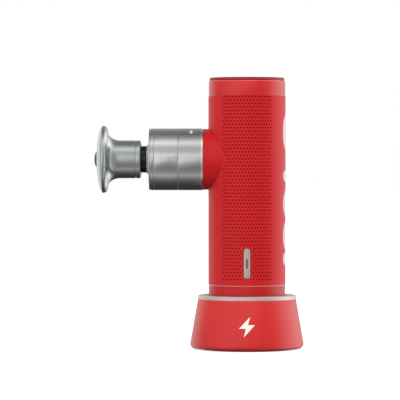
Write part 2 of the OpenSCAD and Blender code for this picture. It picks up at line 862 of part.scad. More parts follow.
module motor_stator() {
    color([0.42, 0.42, 0.44])
        difference() {
            ring(stator_r, tube_r + fit_gap, stator_z0, stator_z1);
            for (i = [0:slot_count - 1]) at_polar(i * 360 / slot_count, 0) {
                translate([slot_ring_r, 0, 0]) disc(slot_r, stator_z0 - 1, stator_z1 + 1);
                translate([slot_ring_r, -0.5, stator_z0 - 1])
                    cube([stator_r, 1, stator_z1 - stator_z0 + 2]);
            }
        }
}

module motor_windings() {
    coil_r0 = slot_ring_r - slot_r + 0.1;
    coil_r1 = slot_ring_r + slot_r - 0.1;
    color([0.72, 0.38, 0.18]) {
        for (i = [0:slot_count - 1]) at_polar(i * 360 / slot_count, slot_ring_r)
            disc(slot_r - 0.1, stator_z0 - 0.5, stator_z1 + 0.5);
        ring(coil_r1 - 0.2, coil_r0 + 0.2, stator_z0 - 2, stator_z0 - 0.05);
        ring(coil_r1 - 0.2, coil_r0 + 0.2, stator_z1 + 0.05, stator_z1 + 2);
    }
}

module motor_bearings() {
    color([0.8, 0.8, 0.82])
        for (z = [stator_z0 - bearing_h + 0.2, base_z0 + 0.5 - bearing_h])
            ring(bearing_r - 0.03, shaft_r + run_gap, z, z + bearing_h);
}

module motor_damper() {
    color([0.1, 0.1, 0.1])
        difference() {
            ring(room_r - 0.1, ledge_in_r + 0.1, ledge_z1 + 0.02, base_z0 - 0.02);
            for (a = cell_angles) at_polar(a, motor_screw_ring)
                disc(screw_r + 0.1, ledge_z1 - 1, base_z0 + 1);
            lead_notch(ledge_z1 - 1, base_z0 + 1);
        }
}

module motor_screws() {
    color([0.6, 0.6, 0.62])
        for (a = cell_angles) at_polar(a, motor_screw_ring)
            translate([0, 0, base_z0 + base_h + 0.02])
                rotate([180, 0, 0]) screw(1.7, 1.1, screw_r, base_h + damper_h + ledge_h - 0.3);
}

module motor_leads() {
    top = base_z0 + base_h + 1.3;
    path = [
        [11.5, stator_z1 + 2.1], [11.5, base_z0 + base_h], [11.9, top - 0.6], [12.9, top],
        [lead_x - 2.2, top], [lead_x - 0.7, top - 0.5], [lead_x, top - 2], [lead_x, axis_z + 30],
        [lead_x, axis_z + 15], [lead_x, axis_z], [lead_x - 0.3, board_z + 14], [lead_x - 2.5, board_z + 8],
        [13.6, board_z + 5], [12.5, board_z + 4], [12.2, board_z + 2.8], [12.2, board_z + board_t + 0.05]
    ];
    color([0.15, 0.15, 0.6])
        for (y = lead_rows) bent_wire(path, lead_r, y);
}

module rotor_bell() {
    color([0.3, 0.3, 0.32])
        difference() {
            disc(rotor_r, rotor_z0, rotor_z1);
            disc(rotor_r - rotor_wall, rotor_z0 + rotor_floor, rotor_z1 + 1);
            disc(shaft_r + 0.02, rotor_z0 - 1, rotor_z0 + rotor_floor + 1);
            for (a = [0:60:300]) at_polar(a, 9.5) disc(2.4, rotor_z0 - 1, rotor_z0 + rotor_floor + 1);
        }
}

module rotor_magnets() {
    color([0.5, 0.5, 0.5])
        difference() {
            ring(magnet_r1, magnet_r0, stator_z0 - 0.5, stator_z1 + 0.5);
            for (i = [0:magnet_count - 1]) at_polar(i * 360 / magnet_count, 0)
                translate([0, -0.3, stator_z0 - 2]) cube([rotor_r, 0.6, stator_z1 - stator_z0 + 4]);
        }
}

module motor_shaft() {
    color([0.82, 0.82, 0.84])
        disc(shaft_r, crank_z0 + crank_h / 2 + 0.1, base_z0 + 0.4);
}

module crank_disc() {
    color([0.58, 0.58, 0.6])
        difference() {
            union() {
                disc(9, crank_z0, crank_z0 + crank_h);
                intersection() {
                    disc(weight_r, crank_z0, crank_z0 + crank_h);
                    translate([-weight_r - 1, -weight_r, crank_z0])
                        cube([weight_r - 1, 2 * weight_r, crank_h]);
                }
            }
            disc(shaft_r + 0.02, crank_z0 + crank_h / 2, crank_z0 + crank_h + 1);
            translate([crank_r, 0, 0]) disc(pin_r + 0.02, crank_z0 - 1, crank_z0 + crank_h / 2 - 0.4);
        }
}

module crank_pin() {
    color([0.85, 0.85, 0.87])
        translate([crank_r, 0, 0])
            rotate_extrude()
                polygon([
                    [0, axis_z - 4.2], [pin_r + 1.2, axis_z - 4.2], [pin_r + 1.2, axis_z - 3.6],
                    [pin_r, axis_z - 3.6], [pin_r, crank_z0 + crank_h / 2 - 0.45],
                    [0, crank_z0 + crank_h / 2 - 0.45]
                ]);
}

module yoke_block() {
    color([0.78, 0.6, 0.28])
        translate([crank_r, 0, axis_z])
            difference() {
                translate([-block_w / 2, -block_w / 2, 0.1 - yoke_half_h])
                    cube([block_w, block_w, 2 * yoke_half_h - 0.2]);
                translate([0, 0, -yoke_half_h - 1]) cylinder(r = pin_r + run_gap, h = 2 * yoke_half_h + 2);
            }
}

// ---- Plunger ----

module plunger_yoke() {
    color([0.62, 0.63, 0.66])
        difference() {
            union() {
                translate([yoke_x0, -yoke_slot_y - 2, axis_z - yoke_half_h])
                    cube([yoke_x1 - yoke_x0, 2 * yoke_slot_y + 4, 2 * yoke_half_h]);
                translate([yoke_x0 - yoke_tail, -5.5, axis_z - yoke_half_h])
                    cube([yoke_tail + eps, 11, 2 * yoke_half_h]);
            }
            translate([crank_r - yoke_slot_x, -yoke_slot_y, axis_z - yoke_half_h - 1])
                cube([2 * yoke_slot_x, 2 * yoke_slot_y, 2 * yoke_half_h + 2]);
            along_barrel() disc(stub_r + 0.02, -yoke_x0 + 1.35, -yoke_x0 + yoke_tail + 1);
        }
}

module plunger_rod() {
    tail_d = -yoke_x0 + yoke_tail;
    waist_d = weight_r + 4;
    color([0.12, 0.125, 0.12])
        along_barrel()
            rotate_extrude()
                polygon(concat(
                    [[0, -yoke_x0 + 1.5], [stub_r, -yoke_x0 + 1.5], [stub_r, tail_d + 0.02],
                     [neck_rod_r, tail_d + 0.02], [neck_rod_r, waist_d], [neck_rod_r + 1.8, waist_d + 2],
                     [neck_rod_r + 1.8, rod_wide_d - 3], [rod_r, rod_wide_d]],
                    ring_notch(rod_end - 9.5),
                    ring_notch(rod_end - 3.5),
                    [[rod_r, rod_end - 0.8], [rod_r - 0.8, rod_end], [0, rod_end]]
                ));
}

// Square groove in the plunger for one rubber ring
function ring_notch(d) = let (half = ring_wire / 2 + 0.05, deep = rod_r - ring_wire)
    [[rod_r, d - half], [deep, d - half], [deep, d + half], [rod_r, d + half]];

module plunger_rings() {
    color([0.05, 0.05, 0.05])
        along_barrel()
            for (d = [rod_end - 9.5, rod_end - 3.5]) translate([0, 0, d])
                rotate_extrude() translate([rod_r - ring_wire / 2 + 0.03, 0]) circle(d = ring_wire - 0.06, $fn = 24);
}

// ---- Massage head ----

module head_body() {
    groove_d = head_d0 + 3.6;
    color([0.68, 0.68, 0.69])
        along_barrel()
            difference() {
                rotate_extrude()
                    polygon(concat(
                        [[0, head_d0], [stem_r - 2.4, head_d0], [stem_r - 0.3, head_d0 + 0.5],
                         [stem_r, head_d0 + 0.9], [stem_r, groove_d - 0.4], [stem_r - 0.35, groove_d - 0.2],
                         [stem_r - 0.35, groove_d + 0.2], [stem_r, groove_d + 0.4]],
                        arc([flare_r, flare_d0], [flare_r - stem_r, flare_len], 180, 90, 14),
                        arc([flare_r, rim_d], [disc_r - flare_r, back_len], -89, 0, 8),
                        arc([0, rim_d], [disc_r, dome_h], 6, 90, 16)
                    ));
                disc(bore_r + 0.05, head_d0 - 1, head_d0 + socket_depth);
                disc(plug_r + fit_gap, dome_d - 3.2, dome_d + 1);
            }
}

module head_plug() {
    color([0.07, 0.07, 0.075])
        along_barrel()
            rotate_extrude()
                polygon(concat(
                    [[0, dome_d - 3.15], [plug_r, dome_d - 3.15], [plug_r, dome_d - 0.2]],
                    arc([0, dome_d - 0.2], [plug_r, plug_proud + 0.2], 8, 90, 10)
                ));
}

// ---- Battery ----

// Outline of the three cells, grown by a wall
module cell_outline(grow) {
    for (a = cell_angles) at_polar(a, cell_ring_r) circle(r = cell_r + grow);
    circle(r = cell_ring_r);
}

module battery_cells() {
    color([0.2, 0.42, 0.66])
        for (a = cell_angles) at_polar(a, cell_ring_r) disc(cell_r, cell_z0, cell_z1);
}

module battery_holders() {
    lead_hole = 1.2;
    color([0.3, 0.3, 0.32]) {
        difference() {
            translate([0, 0, cell_z0 - tab_t - holder_floor])
                linear_extrude(height = holder_floor + holder_grip) cell_outline(holder_wall);
            translate([0, 0, cell_z0 - tab_t - fit_gap]) linear_extrude(height = holder_grip + 1) cell_outline(0.2);
        }
        difference() {
            union() {
                translate([0, 0, cell_z1 + tab_t - holder_grip])
                    linear_extrude(height = holder_floor + holder_grip) cell_outline(holder_wall);
                for (a = cell_angles) at_polar(a, post_ring_r)
                    disc(1.6, cell_z1 + tab_t + holder_floor - eps, board_z - 0.02);
            }
            translate([0, 0, cell_z1 - holder_grip - 1])
                linear_extrude(height = holder_grip + 1 + tab_t + fit_gap) cell_outline(0.2);
            for (x = [0, 5]) translate([x, x * 0.6, 0]) disc(lead_hole, cell_z1, board_z);
        }
    }
}

module battery_tabs() {
    color([0.8, 0.79, 0.76])
        for (z = [cell_z0 - tab_t, cell_z1]) translate([0, 0, z + 0.02])
            linear_extrude(height = tab_t - 0.04)
                difference() {
                    union() {
                        for (a = cell_angles) at_polar(a, cell_ring_r) circle(r = 4);
                        polygon([for (a = cell_angles) cell_ring_r * [cos(a), sin(a)]]);
                    }
                    if (z > cell_z0) circle(r = 1.1);
                }
}

module battery_leads() {
    color([0.75, 0.1, 0.1]) {
        disc(0.8, cell_z0 + 0.02, board_z - 0.02);
        translate([5, 3, 0]) disc(0.8, cell_z1 + tab_t, board_z - 0.02);
        // Leads from the charging board to the main board
        for (a = [gap_angles[1], gap_angles[2]]) at_polar(a, 14)
            disc(0.8, charge_z + charge_t + 0.02, board_z - 0.02);
    }
}

// ---- Electronics ----

module main_board() {
    color([0.07, 0.28, 0.15]) {
        disc(main_board_r, board_z, board_z + board_t);
        translate([-9, -9, board_z + board_t - eps]) cube([7, 7, 1.1]);
        translate([-2.5, 4, board_z + board_t - eps]) cube([5, 6, 1.4]);
        for (x = [-10, -6.5]) translate([x, 3, board_z + board_t - eps]) cube([2.4, 3.6, 1]);
        translate([3.5, -9, 0]) disc(2.6, board_z + board_t - eps, board_z + board_t + 3);
    }
}

module button_board() {
    color([0.07, 0.3, 0.17])
        out_of_button()
            translate([-switch_board_w / 2, -switch_board_len / 2, switch_board_y])
                cube([switch_board_w, switch_board_len, switch_board_t]);
}

module button_switch() {
    base = switch_board_y + switch_board_t + 0.02;
    color([0.15, 0.15, 0.16])
        out_of_button() {
            translate([-2.6, -2.6, base]) cube([5.2, 5.2, switch_h - 0.02]);
            disc(1.3, base + switch_h - 0.1, base + switch_h + switch_stem - 0.02);
        }
}

module button_ribbon() {
    y = -switch_board_y - 0.3;
    z0 = button_z + switch_board_len / 2 + 0.02;
    z1 = board_z - 5;
    y_end = -main_board_r + 1.6;
    color([0.75, 0.5, 0.2])
        translate([-ribbon_w / 2, 0, 0])
            rotate([90, 0, 90])
                linear_extrude(height = ribbon_w)
                    polygon([
                        [y - ribbon_t, z0], [y, z0], [y, z1], [y_end + 0.2, board_z - 0.7],
                        [y_end + 0.2, board_z - 0.02], [y_end - 0.2, board_z - 0.02],
                        [y_end - 0.2, board_z - 0.5], [y - ribbon_t, z1 + 0.2]
                    ]);
}

module button_bezel() {
    color([0.7, 0.68, 0.67])
        out_of_button()
            difference() {
                pill_block(bezel_w, bezel_len, room_r - 0.2, grip_r + bezel_proud);
                pill_block(bezel_hole_w, bezel_hole_len, room_r - 1, grip_r + bezel_proud + 1);
            }
}

module speed_button() {
    color([0.74, 0.72, 0.7])
        out_of_button()
            difference() {
                union() {
                    pill_block(button_w, button_len, room_r - 0.4, grip_r + bezel_proud - 0.05);
                    disc(0.9, stem_back_y, room_r);
                }
                pill_block(slit_w + 0.1, slit_len + 0.1, grip_r + bezel_proud - 1, grip_r + 2);
            }
}

module button_light() {
    color([0.35, 0.33, 0.4])
        out_of_button()
            pill_block(slit_w, slit_len, grip_r + bezel_proud - 0.98, grip_r + bezel_proud - 0.12);
}

module charge_board() {
    color([0.07, 0.3, 0.17])
        disc(main_board_r, charge_z, charge_z + charge_t);
}

module charge_pads() {
    color([0.88, 0.72, 0.35])
        for (x = pad_x) translate([x, 0, 0]) disc(pad_r, gun_z + pad_up, charge_z - 0.02);
}

dock_shell();
dock_trim_ring();
dock_cradle();
dock_base_plate();
dock_foot_pad();
dock_ballast();
dock_board();
dock_usb_socket();
dock_pin_barrels();
dock_contact_pins();
dock_pin_springs();
dock_screws();
dock_board_screws();
housing_left();
housing_right();
housing_screws();
grip_sleeve();
grip_trim_ring();
top_ring();
top_lid();
bottom_cap();
bottom_cap_screws();
neck_collar();
barrel_rear();
barrel_front();
barrel_cap();
guide_carrier();
guide_bushes();
plunger_seal();
motor_base();
motor_stator();
motor_windings();
motor_bearings();
motor_damper();
motor_screws();
motor_leads();
rotor_bell();
rotor_magnets();
motor_shaft();
crank_disc();
crank_pin();
yoke_block();
plunger_yoke();
plunger_rod();
plunger_rings();
head_body();
head_plug();
battery_cells();
battery_holders();
battery_tabs();
battery_leads();
main_board();
button_board();
button_switch();
button_ribbon();
button_bezel();
speed_button();
button_light();
charge_board();
charge_pads();
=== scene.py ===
"""Looks of a massage gun that stands in its charging dock, built round the fixed CAD frame.

Lengths in the classes are in millimetres. A mesh is brought to metres when its piece is shown.
"""

import json
import logging
import math
from collections.abc import Sequence
from dataclasses import dataclass, field
from enum import Enum
from functools import cache

import bmesh
import bpy
from bmesh.types import BMEdge, BMesh, BMFace, BMVert
from mathutils import Matrix, Vector


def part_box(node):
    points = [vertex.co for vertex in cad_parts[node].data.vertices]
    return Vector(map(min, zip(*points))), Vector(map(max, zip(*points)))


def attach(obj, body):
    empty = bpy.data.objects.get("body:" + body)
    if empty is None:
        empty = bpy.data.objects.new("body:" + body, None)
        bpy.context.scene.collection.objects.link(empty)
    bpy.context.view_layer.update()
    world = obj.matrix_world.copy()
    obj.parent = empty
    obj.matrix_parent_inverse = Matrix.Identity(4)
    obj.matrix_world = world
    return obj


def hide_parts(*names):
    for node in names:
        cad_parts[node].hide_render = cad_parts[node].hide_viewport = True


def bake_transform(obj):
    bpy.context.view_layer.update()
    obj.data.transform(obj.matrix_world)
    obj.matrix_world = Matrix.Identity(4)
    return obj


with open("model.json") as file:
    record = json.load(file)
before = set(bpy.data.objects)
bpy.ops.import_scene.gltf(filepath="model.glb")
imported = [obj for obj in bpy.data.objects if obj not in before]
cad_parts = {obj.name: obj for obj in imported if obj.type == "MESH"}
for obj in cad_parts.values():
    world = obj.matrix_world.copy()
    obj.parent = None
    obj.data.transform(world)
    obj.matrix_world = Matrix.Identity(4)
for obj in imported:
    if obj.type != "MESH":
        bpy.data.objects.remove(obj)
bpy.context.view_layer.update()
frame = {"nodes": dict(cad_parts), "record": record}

MM = 0.001
BARREL_STEPS = 160
RING_SCALE = 0.31416  # a wave pattern has one ring in a metre at this scale
SAME_PLACE = 2e-3  # how close two places count as one, in millimetres
LOG = logging.getLogger("massage_gun")

Colour = tuple[float, float, float]
Outline = Sequence[tuple[float, float, float]]


# ---- Places taken from the CAD frame ----


@cache
def span(node: str, axis: int) -> tuple[float, float]:
    """Find how far a CAD node reaches.

    Args:
        node: The CAD node's name.
        axis: 0, 1 or 2 for X, Y or Z.

    Returns:
        Its lowest and highest place along that axis, in millimetres.
    """
    low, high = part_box(node)
    return low[axis] / MM, high[axis] / MM


def reach(node: str) -> tuple[float, float]:
    """Find how far a CAD node reaches along the barrel, which points along -X.

    Args:
        node: The CAD node's name.

    Returns:
        Its nearest and furthest distance from the grip's axis, in millimetres.
    """
    low, high = span(node, 0)
    return -high, -low


AXIS_Z = sum(span("plunger_rod", 2)) / 2
BUTTON_Z = sum(span("speed_button", 2)) / 2
ALONG_BARREL = Matrix.Translation((0, 0, AXIS_Z)) @ Matrix.Rotation(math.radians(-90), 4, "Y")
OUT_OF_BUTTON = Matrix.Translation((0, 0, BUTTON_Z)) @ Matrix.Rotation(math.radians(90), 4, "X")


# ---- Finishes ----


class Axis(Enum):
    """The axis a finish was turned, wound or drawn along."""

    X = "X"
    Z = "Z"


class Nodes:
    """A small bench for laying out a material's nodes."""

    def __init__(self, name: str) -> None:
        """Start a material with a surface shader and Object coordinates."""
        self.material = bpy.data.materials.new(name)
        self.material.use_nodes = True
        self.tree = self.material.node_tree
        self.tree.nodes.clear()
        self.surface = self.tree.nodes.new("ShaderNodeBsdfPrincipled")
        output = self.tree.nodes.new("ShaderNodeOutputMaterial")
        self.link(self.surface.outputs["BSDF"], output.inputs["Surface"])
        self.place = self.tree.nodes.new("ShaderNodeTexCoord").outputs["Object"]

    def link(self, source: bpy.types.NodeSocket, target: bpy.types.NodeSocket) -> None:
        """Join two sockets."""
        self.tree.links.new(source, target)

    def stretched(self, scale: Sequence[float]) -> bpy.types.NodeSocket:
        """Give Object coordinates scaled on each axis.

        Args:
            scale: The three factors.

        Returns:
            The scaled coordinates.
        """
        mapping = self.tree.nodes.new("ShaderNodeMapping")
        mapping.inputs["Scale"].default_value = scale
        self.link(self.place, mapping.inputs["Vector"])
        return mapping.outputs["Vector"]

    def noise(
        self,
        per_metre: float,
        detail: float = 3.0,
        scale: Sequence[float] = (1, 1, 1),
    ) -> bpy.types.NodeSocket:
        """Add a noise pattern.

        Args:
            per_metre: How many cells there are in a metre.
            detail: How many finer layers lie on it.
            scale: Stretch on each axis.

        Returns:
            The pattern's value, from 0 to 1.
        """
        node = self.tree.nodes.new("ShaderNodeTexNoise")
        node.inputs["Scale"].default_value = per_metre
        node.inputs["Detail"].default_value = detail
        self.link(self.stretched(scale), node.inputs["Vector"])
        return node.outputs["Fac"]

    def bands(self, per_metre: float, axis: Axis, wobble: float = 0.0) -> bpy.types.NodeSocket:
        """Add even rings across an axis.

        Args:
            per_metre: How many rings there are in a metre.
            axis: The axis the rings stand across.
            wobble: How much the rings wander.

        Returns:
            The pattern's value, from 0 to 1.
        """
        node = self.tree.nodes.new("ShaderNodeTexWave")
        node.bands_direction = axis.value
        node.wave_profile = "SIN"
        node.inputs["Scale"].default_value = per_metre * RING_SCALE
        node.inputs["Distortion"].default_value = wobble
        node.inputs["Detail"].default_value = 1.0
        self.link(self.place, node.inputs["Vector"])
        return node.outputs["Fac"]

    def ramp(
        self,
        value: bpy.types.NodeSocket,
        stops: Sequence[tuple[float, Colour]],
    ) -> bpy.types.NodeSocket:
        """Turn a value into a colour.

        Args:
            value: The value that drives it.
            stops: Places from 0 to 1, each with its colour.

        Returns:
            The colour.
        """
        node = self.tree.nodes.new("ShaderNodeValToRGB")
        elements = node.color_ramp.elements
        while len(elements) < len(stops):
            elements.new(0.5)
        for element, (place, colour) in zip(elements, stops):
            element.position = place
            element.color = (*colour, 1.0)
        self.link(value, node.inputs["Fac"])
        return node.outputs["Color"]

    def remap(self, value: bpy.types.NodeSocket, low: float, high: float) -> bpy.types.NodeSocket:
        """Spread a value from 0 to 1 over another range.

        Args:
            value: The value.
            low: What 0 becomes.
            high: What 1 becomes.

        Returns:
            The new value.
        """
        node = self.tree.nodes.new("ShaderNodeMapRange")
        node.inputs["To Min"].default_value = low
        node.inputs["To Max"].default_value = high
        self.link(value, node.inputs["Value"])
        return node.outputs["Result"]

    def total(
        self,
        first: bpy.types.NodeSocket,
        second: bpy.types.NodeSocket,
        share: float,
    ) -> bpy.types.NodeSocket:
        """Add a share of one value to another.

        Args:
            first: The first value.
            second: The value that is scaled.
            share: How much of it is added.

        Returns:
            The sum.
        """
        node = self.tree.nodes.new("ShaderNodeMath")
        node.operation = "MULTIPLY_ADD"
        node.inputs[1].default_value = share
        self.link(second, node.inputs[0])
        self.link(first, node.inputs[2])
        return node.outputs["Value"]

    def relief(self, height: bpy.types.NodeSocket, depth_mm: float, strength: float = 1.0) -> None:
        """Raise the surface by a pattern.

        Args:
            height: The pattern, from 0 to 1.
            depth_mm: How deep it is.
            strength: How much of it shows.
        """
        node = self.tree.nodes.new("ShaderNodeBump")
        node.inputs["Distance"].default_value = depth_mm * MM
        node.inputs["Strength"].default_value = strength
        self.link(height, node.inputs["Height"])
        self.link(node.outputs["Normal"], self.surface.inputs["Normal"])

    def uniform(self, **values: float) -> None:
        """Set sockets of the surface shader, with spaces in their names written as underscores."""
        for name, value in values.items():
            self.surface.inputs[name.replace("_", " ")].default_value = value


def linear(colour: Colour) -> Colour:
    """Bring a colour from display values, 0 to 255, to linear light.

    Args:
        colour: Red, green and blue as a display shows them.

    Returns:
        The linear values.
    """
    parts = [c / 255 for c in colour]
    return tuple(c / 12.92 if c <= 0.04045 else ((c + 0.055) / 1.055) ** 2.4 for c in parts)


def shade(colour: Colour, factor: float) -> Colour:
    """Darken or lighten a linear colour by a factor."""
    return tuple(min(1.0, c * factor) for c in colour)


@dataclass(frozen=True)
class Finish:
    """What every finish has: a name, the record's material slot, and a colour."""

    name: str
    slot: str
    colour: Colour

    def material(self) -> bpy.types.Material:
        """Build the material, or find it if it was built before.

        Returns:
            The material.
        """
        made = bpy.data.materials.get(self.name)
        if made is not None:
            return made
        nodes = Nodes(self.name)
        self.lay_out(nodes)
        return nodes.material

    def lay_out(self, nodes: Nodes) -> None:
        """Lay out this finish's nodes.

        Args:
            nodes: The bench they go on.
        """
        raise NotImplementedError


@dataclass(frozen=True)
class Skin(Finish):
    """Painted or moulded plastic: fine grain, slow drift of tone, soft or glossy."""

    roughness: float = 0.42
    grain_mm: float = 0.09
    grain_depth_mm: float = 0.012
    drift: float = 0.05
    coat: float = 0.0
    specular: float = 0.5

    def lay_out(self, nodes: Nodes) -> None:
        """Lay out the grain, the drift and the gloss."""
        base = linear(self.colour)
        drift = nodes.noise(38, 2)
        grain = nodes.noise(1 / (self.grain_mm * MM), 2)
        tone = nodes.total(drift, grain, 0.18)
        dark, pale = shade(base, 1 - self.drift), shade(base, 1 + self.drift)
        colour = nodes.ramp(tone, [(0.25, dark), (0.85, pale)])
        nodes.link(colour, nodes.surface.inputs["Base Color"])
        rough = nodes.remap(drift, self.roughness - 0.03, self.roughness + 0.03)
        nodes.link(rough, nodes.surface.inputs["Roughness"])
        nodes.relief(grain, self.grain_depth_mm, 0.5)
        nodes.uniform(Coat_Weight=self.coat, Coat_Roughness=0.12, Specular_IOR_Level=self.specular)


@dataclass(frozen=True)
class TurnedMetal(Finish):
    """Metal off the lathe: rings across its axis that spread the light along it."""

    roughness: float = 0.26
    axis: Axis = Axis.X
    spread: float = 0.6
    ring_mm: float = 0.11
    ring_depth_mm: float = 0.0004
    metallic: float = 1.0

    def lay_out(self, nodes: Nodes) -> None:
        """Lay out the rings, the streaks between them and the spread of the light."""
        base = linear(self.colour)
        along = (1.0, 0.02, 0.02) if self.axis is Axis.X else (0.02, 0.02, 1.0)
        streak = nodes.noise(2600, 4, along)
        rings = nodes.bands(1 / (self.ring_mm * MM), self.axis, 0.6)
        colour = nodes.ramp(streak, [(0.3, shade(base, 0.93)), (0.7, shade(base, 1.05))])
        nodes.link(colour, nodes.surface.inputs["Base Color"])
        rough = nodes.remap(streak, self.roughness - 0.05, self.roughness + 0.05)
        nodes.link(rough, nodes.surface.inputs["Roughness"])
        nodes.relief(nodes.total(rings, streak, 0.8), self.ring_depth_mm, 0.5)
        nodes.uniform(Metallic=self.metallic, Anisotropic=self.spread, Anisotropic_Rotation=0.25)
        tangent = nodes.tree.nodes.new("ShaderNodeTangent")
        tangent.direction_type = "RADIAL"
        tangent.axis = self.axis.value
        nodes.link(tangent.outputs["Tangent"], nodes.surface.inputs["Tangent"])


@dataclass(frozen=True)
class PlainMetal(Finish):
    """Drawn, cast or plated metal: cloudy tone and small scratches."""

    roughness: float = 0.3
    cloud_per_metre: float = 420.0
    depth_mm: float = 0.004

    def lay_out(self, nodes: Nodes) -> None:
        """Lay out the clouds and the scratches."""
        base = linear(self.colour)
        clouds = nodes.noise(self.cloud_per_metre, 4)
        scratches = nodes.noise(900, 3, (1.0, 6.0, 0.4))
        colour = nodes.ramp(clouds, [(0.3, shade(base, 0.88)), (0.72, shade(base, 1.08))])
        nodes.link(colour, nodes.surface.inputs["Base Color"])
        rough = nodes.remap(scratches, self.roughness - 0.06, self.roughness + 0.08)
        nodes.link(rough, nodes.surface.inputs["Roughness"])
        nodes.relief(nodes.total(clouds, scratches, 0.5), self.depth_mm, 0.4)
        nodes.uniform(Metallic=1.0)


@dataclass(frozen=True)
class Rubber(Finish):
    """Matt rubber with a fine pebble and dust in its hollows."""

    roughness: float = 0.68

    def lay_out(self, nodes: Nodes) -> None:
        """Lay out the pebble and the dust."""
        base = linear(self.colour)
        pebble = nodes.noise(5200, 3)
        dust = nodes.noise(300, 4)
        colour = nodes.ramp(dust, [(0.35, base), (0.8, shade(base, 1.5))])
        nodes.link(colour, nodes.surface.inputs["Base Color"])
        rough = nodes.remap(dust, self.roughness - 0.08, self.roughness + 0.08)
        nodes.link(rough, nodes.surface.inputs["Roughness"])
        nodes.relief(pebble, 0.03, 0.6)
        nodes.uniform(Specular_IOR_Level=0.35)


@dataclass(frozen=True)
class Board(Finish):
    """Circuit board: green or black mask over faint tracks."""

    def lay_out(self, nodes: Nodes) -> None:
        """Lay out the mask and the tracks under it."""
        base = linear(self.colour)
        cells = nodes.tree.nodes.new("ShaderNodeTexBrick")
        cells.inputs["Scale"].default_value = 260.0
        cells.inputs["Mortar Size"].default_value = 0.04
        cells.inputs["Color1"].default_value = (*base, 1.0)
        cells.inputs["Color2"].default_value = (*shade(base, 1.25), 1.0)
        cells.inputs["Mortar"].default_value = (*shade(base, 2.2), 1.0)
        nodes.link(nodes.place, cells.inputs["Vector"])
        nodes.link(cells.outputs["Color"], nodes.surface.inputs["Base Color"])
        nodes.link(nodes.remap(nodes.noise(700), 0.28, 0.4), nodes.surface.inputs["Roughness"])
        nodes.relief(cells.outputs["Fac"], 0.03, 0.5)


@dataclass(frozen=True)
class Wound(Finish):
    """Strands laid side by side: motor windings, flat ribbon, insulated wire."""

    axis: Axis = Axis.Z
    strand_mm: float = 0.5
    metallic: float = 0.0
    roughness: float = 0.35

    def lay_out(self, nodes: Nodes) -> None:
        """Lay out the strands."""
        base = linear(self.colour)
        strands = nodes.bands(1 / (self.strand_mm * MM), self.axis, 0.3)
        colour = nodes.ramp(strands, [(0.1, shade(base, 0.55)), (0.55, base)])
        nodes.link(colour, nodes.surface.inputs["Base Color"])
        rough = nodes.remap(nodes.noise(800), self.roughness - 0.06, self.roughness + 0.06)
        nodes.link(rough, nodes.surface.inputs["Roughness"])
        nodes.relief(strands, self.strand_mm * 0.35, 0.8)
        nodes.uniform(Metallic=self.metallic)


@dataclass(frozen=True)
class Window(Finish):
    """Frosted light window: milky plastic that lets a little light in."""

    def lay_out(self, nodes: Nodes) -> None:
        """Lay out the frosting."""
        base = linear(self.colour)
        frost = nodes.noise(6000, 2)
        colour = nodes.ramp(frost, [(0.3, shade(base, 0.9)), (0.7, shade(base, 1.1))])
        nodes.link(colour, nodes.surface.inputs["Base Color"])
        nodes.link(nodes.remap(frost, 0.22, 0.34), nodes.surface.inputs["Roughness"])
        nodes.relief(frost, 0.01, 0.3)
        nodes.uniform(Subsurface_Weight=0.15, Subsurface_Scale=0.0006)


SLEEVE_RED = Skin("soft_red_skin", "red_shell", (195, 27, 31), roughness=0.44, specular=0.22)
# Dark red of the pits; on the walls of the button's gap the same red is painted shade.
PIT_RED_AND_GAP_SHADE = Skin("dark_red_pit_and_gap_shade", "dark_red", (142, 4, 10), roughness=0.6, specular=0.1)
BAND_RED = Skin("satin_red_band", "red_band", (200, 30, 32), roughness=0.3, grain_depth_mm=0.004)
# Darker than the band's red: the cup's red with painted shade from the dock well round it.
CUP_RED_SHADED = Skin(
    "cup_red_painted_shade",
    "red_band",
    (180, 20, 28),
    roughness=0.36,
    specular=0.34,
    grain_depth_mm=0.004,
)
COLLAR_RED = Skin(
    "satin_red_collar",
    "red_band",
    (187, 22, 25),
    roughness=0.36,
    specular=0.24,
    grain_depth_mm=0.006,
)
LID_RED = Skin("deep_red_lid", "dark_red", (150, 26, 30), roughness=0.5)
DOCK_RED = Skin("satin_red_dock", "red_band", (202, 33, 32), roughness=0.34, specular=0.48)
# Brushed silver with a pink tint: the silver is its own colour, the tint is painted reflection of the red
# grip.
RING_SILVER_REFLECTION = TurnedMetal(
    "silver_ring_painted_reflection",
    "silver_ring",
    (206, 182, 179),
    0.42,
    Axis.Z,
    0.3,
    metallic=0.4,
)
# Glossy trim ring in pale pink: the red with a painted highlight, standing in for the light line along the
# ring.
TRIM_PAINTED_HIGHLIGHT = Skin(
    "trim_ring_painted_highlight",
    "red_band",
    (206, 92, 88),
    roughness=0.22,
    grain_depth_mm=0.002,
    coat=0.4,
)
# Pale pink painted highlight for the top band's rounded rim, standing in for the light that edge catches.
RIM_PAINTED_HIGHLIGHT = Skin(
    "band_rim_painted_highlight",
    "red_band",
    (222, 78, 78),
    roughness=0.22,
    grain_depth_mm=0.002,
    coat=0.4,
)
BARREL_METAL = TurnedMetal("turned_barrel_metal", "barrel_metal", (204, 204, 205), 0.24)
BARREL_BRIGHT = TurnedMetal("turned_front_metal", "barrel_metal", (212, 212, 213), 0.22)
HEAD_METAL = TurnedMetal(
    "turned_head_metal",
    "head_metal",
    (196, 200, 199),
    0.31,
    spread=0.45,
    ring_depth_mm=0.0002,
)
BUTTON_METAL = PlainMetal("satin_button_metal", "button_metal", (216, 206, 192), 0.44, 5200.0, 0.002)
# Silver surround painted pale pink-white: the metal with a painted highlight over its own colour.
SURROUND_PAINTED_HIGHLIGHT = PlainMetal(
    "surround_metal_painted_highlight",
    "button_metal",
    (255, 236, 236),
    0.3,
    5200.0,
    0.001,
)
